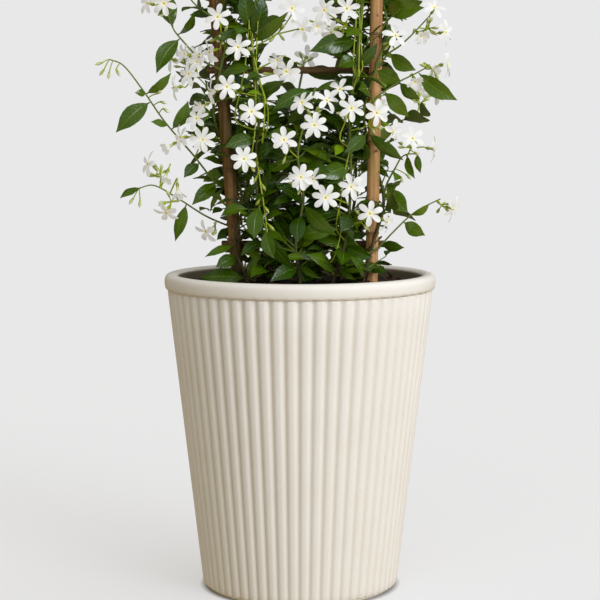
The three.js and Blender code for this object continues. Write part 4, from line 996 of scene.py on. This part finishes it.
def bud_finish():
    """Waxy bud and tube: yellow-green where it grows and cream white towards the tip."""
    finish, tree, shader, place = start_finish("bud_skin", 0.45)
    tone = skin_tone(tree)
    clouds = noise(tree, place, 200.0)
    green = mix_paint(tree, clouds, paint(128, 158, 14), paint(190, 202, 52))
    cream = mix_paint(tree, clouds, paint(226, 224, 176), paint(244, 243, 222))
    waxy = mix_paint(tree, step_up(tree, tone, 0.25, 0.85), green, cream)
    tree.links.new(waxy, shader.inputs["Base Color"])
    shader.inputs["Subsurface Weight"].default_value = 0.15
    shader.inputs["Subsurface Scale"].default_value = 0.001
    return finish


ways = branch_ways()
stem_names = [name for name, (stem, _) in ways.items() if name == stem]
leaf_green, stem_bark, bud_green = leaf_finish(), stem_finish(), bud_finish()


def branch_skins(stem):
    """Tapered tubes along a stem and its shoots, woody at the root and greener towards the ends."""
    skins = []
    for name, (owner, way) in ways.items():
        if owner == stem:
            share = np.linspace(0, 1, len(way))
            low, high = STEM_RADII if name == stem else SHOOT_RADII
            skin = tube(way, low + (high - low) * share)
            green = 0.6 + 0.4 * share if name != stem else np.clip(1.5 * share - 0.2, 0, 1)
            skins.append((spread_tone(skin, green[None]), 1))
    return skins


def stalk_skin(points, radii, tone=0.0):
    """A thin round stalk on a smooth curve through a few points."""
    way = smooth_way(np.array(points), STALK_STEPS)
    return spread_tone(tube(way, np.linspace(*radii, len(way)), STALK_SIDES), [tone])


shown_leaves = []
for stem in stem_names:
    node = f"stem_{stem}"
    corners, _, pairs = corners_of(node)
    own_ways = np.vstack([way for owner, way in ways.values() if owner == stem])
    tips, rings = three_corner_tips(corners, pairs)
    root, tip, up, width = read_blades(tips, rings)
    shown_leaves.append(blade_samples(root, tip, up, width))
    # Leaves grow paler towards the plant's sides as younger growth, and more so on the right as painted light
    # from the key's side.
    outer = np.clip(np.abs(tip[:, 0]) / OUTER_PALE_FROM - 1, 0, 1) * np.take(YOUNG_AND_LIGHT_SHARES, tip[:, 0] > 0)
    tone = rng.uniform(0, 0.25, len(tip)) + outer * rng.uniform(0.5, 1, len(tip))
    skins = branch_skins(stem) + [(leaf_skin(nearest(root, own_ways), tip, up, width, tone), 0)]
    bud_tip, bud_way = read_buds(tips, rings)
    if len(bud_tip):
        skins.append((bud_skin(bud_tip, bud_way), 2))
        base = bud_tip - bud_way * BUD_LENGTH
        foot = nearest(base, own_ways)
        for low, high in zip(foot, base):
            skins.append((stalk_skin([low, (low + high) / 2 + BUD_STALK_BOW, high], BUD_STALK), 2))
    add_piece(f"foliage_{stem}", skins, [leaf_green, stem_bark, bud_green], [node], crease=50)


# Flower sprays: thin forking stalks with open white flowers and closed buds. A flower has five to
# seven oblong petals round a small yellow eye, and a green tube and calyx behind it.
CENTRE_CORNERS = 10
CROWN_REACH = np.hypot(7.6, 0.7) * MM
CROWN_SPARE = 0.05 * MM
LEAST_CROWNS = 4
BLOOM_TUBE = 7.5 * MM
STALK_NECK = 4 * MM
STALK_EDGE = 0.8 * np.sqrt(3) * MM
FORK_SHARE = 0.55
FORK_BOW = 2 * MM
BUD_ROOT = 13.5 * MM
PETAL_LENGTH = 12.4 * MM
PETAL_HALF = 2.75 * MM
PETAL_START = 0.9 * MM
PETAL_ROWS = np.array([0.0, 0.15, 0.32, 0.5, 0.68, 0.83, 0.94, 0.99])
PETAL_BROADEST = 0.64
PETAL_THROAT = 0.34
PETAL_THICKNESS = 0.45 * MM
PETAL_SPREAD = (0.93, 1.04)
PETAL_RISE = (0.4, 1.5)
PETAL_BACK = (0.2, 2.2)
PETAL_TWIST = (0.08, 0.3)
PETAL_CUP = (-0.1, 0.3)
TUBE_SIDES = 8
TUBE_ROWS = [[0.7, -8.2, 0.05], [1.1, -7.4, 0.08], [1.05, -6.4, 0.15], [1.1, -4.6, 0.25], [1.2, -2.6, 0.4],
    [1.35, -1.0, 0.6], [1.75, -0.1, 0.85], [1.5, 0.15, 1.0]]
EYE_SIDES = 7
EYE_ROWS = [[0.95, 0.0, 0], [1.0, 0.35, 0], [0.65, 0.75, 0], [0.25, 0.95, 0]]
SEPALS = 5
SEPAL_TURN = 0.3
SEPAL_ROWS = np.array([[0, 0.5], [0.35, 0.7], [0.7, 0.45]])
SEPAL_LENGTH = 3 * MM
SEPAL_TIP = (3.4 * MM, 2.6 * MM)
SEPAL_THICKNESS = 0.2 * MM
SEPAL_TONE = 0.1
STALK_RADII = (0.75 * MM, 0.6 * MM)
STALK_TONE = 0.12
FORK_OVERLAP = 0.12
FORK_BUDS = 4
FORK_BUD_TONE = 0.6
FORK_BUD_REACH = (9 * MM, 15 * MM)
FORK_STALK = (0.5 * MM, 0.45 * MM)
FORK_GAP = 5 * MM
FORK_SIGHT = 16 * MM


def read_blooms(corners, pairs):
    """Each solid bloom's centre, axis and first petal way, and its number of petals.

    A bloom's centre joins many corners, and its petals' crowns all lie at one distance from it. The
    axis is square to the ring of crowns and points away from the centre, towards them."""
    counts = np.bincount(pairs[:, 0], minlength=len(corners))
    blooms = []
    for centre in np.flatnonzero(counts >= CENTRE_CORNERS):
        around = corners[pairs[pairs[:, 0] == centre, 1]] - corners[centre]
        crowns = around[np.abs(np.linalg.norm(around, axis=1) - CROWN_REACH) < CROWN_SPARE]
        if len(crowns) < LEAST_CROWNS:
            continue
        axis = np.linalg.svd(crowns - crowns.mean(axis=0))[2][2]
        axis *= np.sign(crowns.mean(axis=0) @ axis)
        first = unit(crowns[0] - axis * (crowns[0] @ axis))
        second = np.cross(axis, first)
        turns = np.sort(np.arctan2(crowns @ second, crowns @ first) % (2 * np.pi))
        gap = np.median(np.diff(np.append(turns, turns[0] + 2 * np.pi)))
        blooms.append((corners[centre], axis, first, int(round(2 * np.pi / gap))))
    return blooms


def read_foot(corners, faces):
    """The middle and the way of the stalk's cut foot, the face whose three edges have the stalk's width."""
    edges = np.linalg.norm(corners[faces] - corners[np.roll(faces, -1, axis=1)], axis=2)
    face = corners[faces[np.abs(edges - STALK_EDGE).max(axis=1).argmin()]]
    return face.mean(axis=0), unit(np.cross(face[1] - face[0], face[2] - face[0]))


def petal_skin(centre, axis, first, petals, lean=0.0, size=1.0):
    """Closed thin petals in one ring, which lean forward by an angle where the flower is half open.

    Along the petal the half width grows as a quarter sine and ends in a quarter ellipse. It rises
    from the throat and bends back, each by its own draw, and one margin lies lower than the other."""
    turn = np.arange(petals) * 2 * np.pi / petals
    second = np.cross(axis, first)
    out = np.cos(turn)[:, None] * first + np.sin(turn)[:, None] * second
    side = np.cross(out, axis)
    length, rise, back, twist, cup = (rng.uniform(low, high, (petals, 1, 1)) for low, high in (
        PETAL_SPREAD, PETAL_RISE, PETAL_BACK, PETAL_TWIST, PETAL_CUP))
    share = PETAL_ROWS[None, :, None]
    grow = PETAL_THROAT + (1 - PETAL_THROAT) * np.sin(np.pi / 2 * np.clip(share / PETAL_BROADEST, 0, 1))
    finish = np.sqrt(np.clip(1 - ((share - PETAL_BROADEST) / (1 - PETAL_BROADEST)) ** 2, 0, 1))
    half = PETAL_HALF * grow * np.where(share < PETAL_BROADEST, 1, finish)
    across = BLADE_ACROSS[None, None, :]
    reach = PETAL_START + (PETAL_LENGTH * size - PETAL_START) * length * share
    high = (rise * np.sin(np.pi * share * 0.9) - back * share ** 2) * MM
    high = high + half * (twist * across + cup * across ** 2) - BLADE_BELOW * PETAL_THICKNESS
    high = high * np.cos(lean) + reach * np.sin(lean)
    rings = (centre + out[:, None, None] * (reach * np.cos(lean) + 0 * across)[..., None]
        + side[:, None, None] * (half * across)[..., None] + axis * high[..., None])
    start = rings[:, 0].mean(axis=1)
    end = rings[:, -1].mean(axis=1)
    return loft(rings, start, end, BLADE_UV, PETAL_ROWS)


def lathe_skin(base, axis, rows, sides):
    """A short round body about an axis. A row is its radius and height in millimetres, and its tone."""
    across, over = square_to(axis)
    turn = circle(sides)[:, None]
    ring = np.cos(turn) * across + np.sin(turn) * over
    radius, height, tone = np.array(rows).T
    middle = base + (height * MM)[:, None] * axis
    rings = (middle[:, None] + (radius * MM)[:, None, None] * ring)[None]
    return spread_tone(loft(rings, middle[:1], middle[-1:]), tone[None])


def calyx_skin(base, axis):
    """Five pointed sepals that stand off the tube's foot: slim four-sided blades."""
    across, over = square_to(axis)
    turn = circle(SEPALS)[:, None] + SEPAL_TURN
    out = np.cos(turn) * across + np.sin(turn) * over
    side = np.cross(axis, out)[:, None]
    share, half = SEPAL_ROWS[:, :1], SEPAL_ROWS[:, 1:] * MM
    middle = base + share * SEPAL_LENGTH * axis + out[:, None] * (0.8 + 1.6 * share ** 1.5) * MM
    thick = out[:, None] * SEPAL_THICKNESS + 0 * middle
    rings = middle[:, :, None] + np.stack([-thick, -side * half, thick, side * half], axis=2)
    high, wide = SEPAL_TIP
    tip = base + high * axis + out * wide
    return spread_tone(loft(rings, middle[:, 0], tip), np.full(SEPALS, SEPAL_TONE))


def petal_finish():
    """White satin petal, pale yellow at the throat. Its faint glow is painted light: it stands for the light
    that shines through the petal, and it lifts its shaded side.
    """
    finish, tree, shader, place = start_finish("petal_skin", 0.5)
    along = add_node(tree, "SeparateXYZ", {0: add_node(tree, "UVMap").outputs[0]}).outputs[1]
    throat = step_up(tree, along, 0.02, 0.2, 0.8, 0.0)
    white = mix_paint(tree, noise(tree, place, 150.0), paint(194, 194, 189), paint(208, 208, 204))
    tree.links.new(mix_paint(tree, throat, white, paint(236, 226, 132)), shader.inputs["Base Color"])
    # The petal glows: painted light that brightens it in shade as well as in light.
    shader.inputs["Emission Color"].default_value = (1.0, 1.0, 0.97, 1.0)
    shader.inputs["Emission Strength"].default_value = 0.26
    return finish


def eye_finish():
    """The ring of yellow stamens in the throat."""
    finish, tree, shader, place = start_finish("eye_yellow", 0.6)
    yellow = mix_paint(tree, noise(tree, place, 900.0), paint(206, 176, 40), paint(236, 220, 96))
    tree.links.new(yellow, shader.inputs["Base Color"])
    return finish


spray_finishes = [bud_green, petal_finish(), eye_finish()]
shown_blooms = []
all_ways = np.vstack([way for _, way in ways.values()])


def flower_skins(centre, axis, petals):
    """A flower's petals with its tube, its ring of stamens and its calyx."""
    return [(petals, 1), (lathe_skin(centre, axis, TUBE_ROWS, TUBE_SIDES), 0),
        (lathe_skin(centre, axis, EYE_ROWS, EYE_SIDES), 2), (calyx_skin(centre - axis * BLOOM_TUBE, axis), 0)]


def fork_buds(fork, blooms, down):
    """Small buds on short stalks that leave the fork in seeded ways.

    They keep clear of the open flowers, and near a flower they stay behind its petals."""
    centres, axes = (np.array(column) for column in list(zip(*blooms))[:2])
    skins = []
    for _ in range(FORK_BUDS):
        way = unit(rng.normal(0, 1, 3) - 0.6 * down)
        tip = fork + way * rng.uniform(*FORK_BUD_REACH)
        off = tip - centres
        far = np.linalg.norm(off, axis=1)
        behind = (off * axes).sum(axis=1) < -1 * MM
        if ((far > FORK_GAP) & (behind | (far > FORK_SIGHT))).all():
            skins.append((bud_skin(tip[None], way[None], FORK_BUD_TONE), 0))
            points = [fork, (fork + tip) / 2 - way * BUD_LENGTH / 3, tip - way * BUD_LENGTH]
            skins.append((stalk_skin(points, FORK_STALK, STALK_TONE), 0))
    return skins


def spray_skins(node):
    """Everything on one spray, worked out from its solid: the stalk, flowers and buds."""
    corners, faces, pairs = corners_of(node)
    blooms = read_blooms(corners, pairs)
    foot, down = read_foot(corners, faces)
    stem_point = nearest(foot[None], all_ways)[0]
    backs = [centre - axis * (BLOOM_TUBE + STALK_NECK) for centre, axis, _, _ in blooms]
    fork = foot + FORK_SHARE * (np.mean(backs, axis=0) - foot) - down * FORK_BOW
    skins = []
    for k, (centre, axis, first, petals) in enumerate(blooms):
        shown_blooms.append((centre, axis))
        low = [fork, foot, stem_point] if k == 0 else [fork + FORK_OVERLAP * (foot - fork)]
        points = [centre - axis * BLOOM_TUBE, *([backs[k]] if len(blooms) > 1 else []), *low]
        skins.append((stalk_skin(points, STALK_RADII[::-1], STALK_TONE), 0))
        skins.extend(flower_skins(centre, axis, petal_skin(centre, axis, first, petals)))
    bud_tip, bud_way = read_buds(*three_corner_tips(corners, pairs))
    if len(bud_tip):
        skins.append((bud_skin(bud_tip, bud_way), 0))
    for tip, way in zip(bud_tip, bud_way):
        points = [tip - way * BUD_LENGTH, tip - way * (BUD_LENGTH + 3 * MM), tip - way * BUD_ROOT]
        skins.append((stalk_skin(points, BUD_STALK[::-1], STALK_TONE), 0))
    return skins + fork_buds(fork, blooms, down)


for node in sorted(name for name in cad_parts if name.startswith("spray_")):
    name = node.replace("spray", "flowers")
    add_piece(name, spray_skins(node), spray_finishes, [node], crease=60)


# Late flowers: small half-open ones at the plant's sides and in its middle, each on its own thin stalk
# from the nearest shoot. They are younger than the sprays' flowers, so their petals still lean together.
LATE_FLOWERS = [
    [-118, -16, 409, -7, -5, -4], [-107, -19, 407, -2, -7, -6], [-111, -22, 369, 1, -4, -9],
    [-122, -20, 382, -3, -4, -8], [-100, -19, 473, -5, -6, -5], [-93, -20, 485, -3, -8, -3],
    [109, -17, 508, 4, -6, -5], [120, -19, 478, 6, -5, -5], [104, -20, 467, 2, -7, -6],
    [88, -20, 512, 2, -9, -2], [84, -16, 425, 5, -7, -3], [-88, -16, 445, -6, -6, -3],
    [-96, -17, 430, -3, -8, 1], [-84, -24, 500, -4, -7, 3], [-104, -20, 492, -7, -6, 2],
    [-80, -24, 462, 2, -9, -3], [2, -28, 528, -5, -7, 3], [15, -30, 516, 3, -8, -4],
    [28, -28, 507, 5, -8, 1], [-20, -28, 486, -4, -8, -3], [-7, -30, 478, 4, -8, -5],
    [22, -30, 457, 2, -9, -4], [70, -26, 447, 4, -8, -4],
]
LATE_PETALS = (5, 7)
LATE_LEAN = (0.35, 0.9)
LATE_SIZE = (0.72, 0.88)
LATE_GAP = 11 * MM
LATE_DROP = [0, 0, 6 * MM]
late_rng = np.random.default_rng(8)


def late_skins():
    """Half-open flowers at the places above that no open flower already takes.

    A row of the list is a place in millimetres, and then the way that the flower faces."""
    skins = []
    for row in LATE_FLOWERS:
        centre, axis = np.array(row[:3]) * MM, unit(np.array(row[3:]))
        if min(np.linalg.norm(centre - other) for other, _ in shown_blooms) < LATE_GAP:
            continue
        petals = petal_skin(centre, axis, square_to(axis)[0], late_rng.integers(*LATE_PETALS),
            late_rng.uniform(*LATE_LEAN), late_rng.uniform(*LATE_SIZE))
        skins.extend(flower_skins(centre, axis, petals))
        neck = centre - axis * BLOOM_TUBE
        foot = nearest(neck[None] - LATE_DROP, all_ways)[0]
        skins.append((stalk_skin([neck, neck - axis * STALK_NECK, foot], STALK_RADII[::-1], STALK_TONE), 0))
        shown_blooms.append((centre, axis))
    return skins


add_piece("late_flowers", late_skins(), spray_finishes, [], crease=60)


# Green runners: thin young stems that climb in loose bundles before the woody ones, and one that
# hangs down with closed buds. Each grows from the nearest point of its woody stem.
RUNNERS = {
    "left_front": [
        [[-58, -19, 432], [-55, -21, 455], [-50, -23, 478], [-47, -22, 505], [-46, -20, 532],
            [-50, -17, 600]],
        [[-44, -20, 396], [-40, -22, 432], [-41, -21, 473], [-44, -20, 505], [-49, -19, 541],
            [-54, -16, 590]],
        [[-35, -21, 405], [-32, -23, 450], [-39, -24, 473], [-39, -22, 500], [-38, -20, 532],
            [-44, -18, 570]],
        [[-31, -20, 420], [-29, -22, 441], [-35, -24, 464], [-41, -25, 487], [-43, -22, 510]],
    ],
    "right_front": [
        [[48, -19, 485], [50, -21, 514], [51, -20, 541], [52, -17, 590]],
        [[53, -20, 470], [53, -22, 485], [54, -22, 514], [53, -20, 541], [56, -16, 600]],
        [[56, -19, 478], [56, -20, 487], [55, -21, 509], [57, -19, 536], [58, -16, 570]],
        [[36, -21, 416], [42, -22, 434], [47, -22, 455], [52, -20, 473]],
        [[33, -22, 335], [37, -23, 360], [39, -23, 378], [45, -21, 405], [48, -20, 416]],
        [[27, -20, 300], [32, -23, 310], [37, -22, 331], [36, -21, 350]],
    ],
}
RUNNER_STEPS = 6
RUNNER_SIDES = 6
RUNNER_RADII = (0.8 * MM, 0.5 * MM)
RUNNER_DROP = [0, 0, 10 * MM]
BUD_RUNNER = np.array([[-40, -13, 402], [-39, -24, 398], [-36, -34, 378], [-32, -37, 352],
    [-29.5, -37, 331]]) * MM
BUD_RUNNER_TONE = 0.05
RUNNER_BUDS = 9
RUNNER_BUD_TONE = 0.4
RUNNER_BUD_REACH = (9, 12)
RUNNER_STALK = (0.5 * MM, 0.5 * MM)
runner_rng = np.random.default_rng(12)


def runner_tube(points, tone):
    """A thin tube on a smooth curve through a runner's points, and that curve."""
    way = smooth_way(points, RUNNER_STEPS)
    return spread_tone(tube(way, np.linspace(*RUNNER_RADII, len(way)), RUNNER_SIDES), [tone]), way


def runner_skins():
    """Thin tubes along the runners, and spindles that hang from the last one to either side."""
    skins = []
    for stem, rows in RUNNERS.items():
        for points in rows:
            points = np.array(points) * MM
            foot = nearest(points[:1] - RUNNER_DROP, ways[stem][1])
            skins.append((runner_tube(np.vstack([foot, points]), runner_rng.uniform(0, 0.15))[0], 0))
    skin, way = runner_tube(BUD_RUNNER, BUD_RUNNER_TONE)
    skins.append((skin, 0))
    knots = way[np.linspace(len(way) // 4, len(way) - 1, RUNNER_BUDS).astype(int)]
    hand = np.where(np.arange(RUNNER_BUDS) % 2, 1, -1) * runner_rng.uniform(0.4, 1.0, RUNNER_BUDS)
    ahead = unit(np.stack([hand, runner_rng.uniform(-0.6, 0.1, RUNNER_BUDS), -np.ones(RUNNER_BUDS)], axis=1))
    tips = knots + ahead * runner_rng.uniform(*RUNNER_BUD_REACH, (RUNNER_BUDS, 1)) * MM
    skins.append((bud_skin(tips, ahead, RUNNER_BUD_TONE), 0))
    for knot, base in zip(knots, tips - ahead * BUD_LENGTH):
        skins.append((stalk_skin([knot, (knot + base) / 2, base], RUNNER_STALK, BUD_RUNNER_TONE), 0))
    return skins


add_piece("green_runners", runner_skins(), [bud_green], [], crease=60)


# Inner growth: fine green twigs with close leaves, which fill the plant between its canes. Each twig
# grows from a climbing stem and carries its leaves in pairs, turned to the light.
TWIG_TRIES = 3200
TWIG_REACH = (12 * MM, 46 * MM)
TWIG_RISE = (-0.3, 0.9)
TWIG_BOW = (-0.05, 0.25 / 3)
TWIG_RADII = (0.75 * MM, 0.45 * MM)
TWIG_STEPS = 6
TWIG_SIDES = 5
TWIG_NODES = {0.4: (-1, 1), 0.7: (-1, 1), 1.0: (-1, 0, 1)}
INNER_ROWS = np.array([0.03, 0.11, 0.22, 0.4, 0.6, 0.79, 0.92, 0.98])
INNER_LENGTH = (19 * MM, 35 * MM)
INNER_SLIMNESS = (0.36, 0.47)
INNER_FACE = np.array([0.1, -0.5, 0.7])
INNER_SWING = 0.5
YOUNG_RARITY = 3.2
YOUNG_MOST = 0.9
LEAF_NEAR = 30 * MM
LEAF_GAP = 2.6 * MM
PETAL_GAP = 4 * MM
CANE_GAP = 7.5 * MM
RUNG_GAP = 4.5 * MM
CANE_FRONT = 8 * MM
BARE_WAVE = 120
BARE_FROM = -0.35
VIEW_RADIUS = 13 * MM
VIEW_DEPTH = 60 * MM
LEAF_VIEW = 6 * MM
GROWTH_LOW = 284 * MM
GROWTH_HIGH = 655 * MM
GROWTH_DEPTH = 42 * MM
START_LOW = 288 * MM
START_HIGH = 635 * MM
FRONT = -12 * MM
MOUTH_HIGH = 302 * MM
MOUTH_RADIUS = 104 * MM
THICK_TOP = 350 * MM
DENSE_TOP = 452 * MM
DENSE_REACH = (20 * MM, 20 * MM)
SIDE_LOW = 345 * MM
SIDE_REACH = (38 * MM, 22 * MM)
LEFT_REACH = (-30 * MM, 42 * MM)
RIGHT_REACH = (-44 * MM, 30 * MM)
growth = np.random.default_rng(97)
leaf_points = np.vstack(shown_leaves).reshape(-1, 3)
front_points = leaf_points[leaf_points[:, 1] < FRONT]
bloom_centres, bloom_axes = (np.array(rows) for rows in zip(*shown_blooms))


def has_room(points):
    """Whether all the points lie in the dense part of the plant and clear of canes, rungs and the pot.

    A leaf may cross before a cane only where a sine of the height is low, so that most of it stays bare."""
    x, y, z = points.T
    off = {side: x - cane_x(side, z) for side in CANES}
    left, right = (np.where(z > SIDE_LOW, side, dense) for side, dense in zip(SIDE_REACH, DENSE_REACH))
    low = (off["left"] > -left) & (off["right"] < right)
    high = ((off["left"] > LEFT_REACH[0]) & (off["left"] < LEFT_REACH[1])
        | (off["right"] > RIGHT_REACH[0]) & (off["right"] < RIGHT_REACH[1]))
    inside = np.where(z < DENSE_TOP, low, high) & (np.abs(y) < GROWTH_DEPTH)
    inside &= (z > GROWTH_LOW) & (z < GROWTH_HIGH) & ((z > MOUTH_HIGH) | (np.hypot(x, y) < MOUTH_RADIUS))
    bare = np.sin(z * BARE_WAVE) > BARE_FROM
    for away in off.values():
        inside &= (np.hypot(away, y) > CANE_GAP) & ((np.abs(away) > CANE_FRONT) | (y > 0) | ~bare)
    for height in RUNG_HEIGHTS.values():
        inside &= np.hypot(y - RUNG_BACK, z - height) > RUNG_GAP
    return inside.all()


def is_clear(points, taken):
    """Whether the points keep off other leaves and petals, and out of the view of shown blooms and leaves.

    A bloom's view is a short cylinder along its axis, and a front leaf's is a narrow strip before it."""
    near = taken[np.abs(taken - points.mean(axis=0)).max(axis=1) < LEAF_NEAR]
    if len(near) and np.linalg.norm(points[:, None] - near[None], axis=2).min() < LEAF_GAP:
        return False
    off = points[:, None] - bloom_centres[None]
    ahead = (off * bloom_axes[None]).sum(axis=2)
    around = np.sqrt(np.maximum((off ** 2).sum(axis=2) - ahead ** 2, 0))
    if ((around < VIEW_RADIUS) & (ahead > -PETAL_GAP) & (ahead < VIEW_DEPTH)).any():
        return False
    off = points[:, None] - front_points[None]
    return not ((np.hypot(off[..., 0], off[..., 2]) < LEAF_VIEW) & (off[..., 1] < 0)).any()


def grow_twig(starts):
    """A drawn twig from one of the stems' points: its curve, where it heads and where its side is."""
    foot = starts[growth.integers(len(starts))]
    turn, rise = growth.uniform(0, 2 * np.pi), growth.uniform(*TWIG_RISE)
    reach = growth.uniform(*TWIG_REACH)
    ahead = np.array([np.cos(turn) * np.cos(rise), np.sin(turn) * np.cos(rise), np.sin(rise)])
    side = unit(np.array([-ahead[1], ahead[0], 0.0]))
    bow = np.array([0, 0, growth.uniform(*TWIG_BOW) * reach])
    points = np.array([foot, foot + ahead * reach / 2 + bow, foot + ahead * reach])
    return smooth_way(points, TWIG_STEPS), ahead, side


def grow_leaf(root, ahead, side, hand):
    """A drawn leaf on one side of a twig, or at its end: its root, tip, face way and width."""
    way = unit(ahead * growth.uniform(0.3, 0.8) + side * hand * growth.uniform(0.6, 1)
        + np.array([0, 0, growth.uniform(-0.6, 0.3)]) + (ahead if hand == 0 else 0))
    length = growth.uniform(*INNER_LENGTH)
    width = length * growth.uniform(*INNER_SLIMNESS)
    up = unit(INNER_FACE + growth.uniform(-INNER_SWING, INNER_SWING, 3))
    return root, root + way * length, unit(up - way * (up @ way)), width


def grow_inside():
    """Twigs as ways, and leaves as roots, tips, face ways and widths.

    Twigs and leaves are drawn one after the other, and a leaf stays only where it has room."""
    starts = np.vstack([way for name, (stem, way) in ways.items() if name == stem])
    starts = starts[(starts[:, 2] > START_LOW) & (starts[:, 2] < START_HIGH)]
    starts = np.vstack([starts, starts[starts[:, 2] < THICK_TOP]])
    taken = leaf_points
    twigs, leaves = [], []
    for _ in range(TWIG_TRIES):
        twig, ahead, side = grow_twig(starts)
        if not (has_room(twig[3:]) and is_clear(twig[3:], taken)):
            continue
        last = 0
        for share, hands in TWIG_NODES.items():
            knot = int(round(share * (len(twig) - 1)))
            for hand in hands:
                leaf = grow_leaf(twig[knot], ahead, side, hand)
                points = blade_samples(*(np.array([value]) for value in leaf))[0]
                if has_room(points) and is_clear(points, taken):
                    leaves.append(leaf)
                    taken = np.vstack([taken, points])
                    last = knot
        if last:
            twigs.append(twig[:last + 1])
    return twigs, [np.array(column) for column in zip(*leaves)]


twigs, inner_leaves = grow_inside()
inner_tone = growth.uniform(0, 1, len(inner_leaves[0])) ** YOUNG_RARITY * YOUNG_MOST
skins = [(leaf_skin(*inner_leaves, inner_tone, INNER_ROWS), 0)]
for twig in twigs:
    skin = tube(twig, np.linspace(*TWIG_RADII, len(twig)), TWIG_SIDES)
    skins.append((spread_tone(skin, [growth.uniform(0.5, 1)]), 1))
add_piece("inner_growth", skins, [leaf_green, stem_bark], [], crease=50)


# The box of the finished piece, its lowest and highest corner.
low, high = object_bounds()
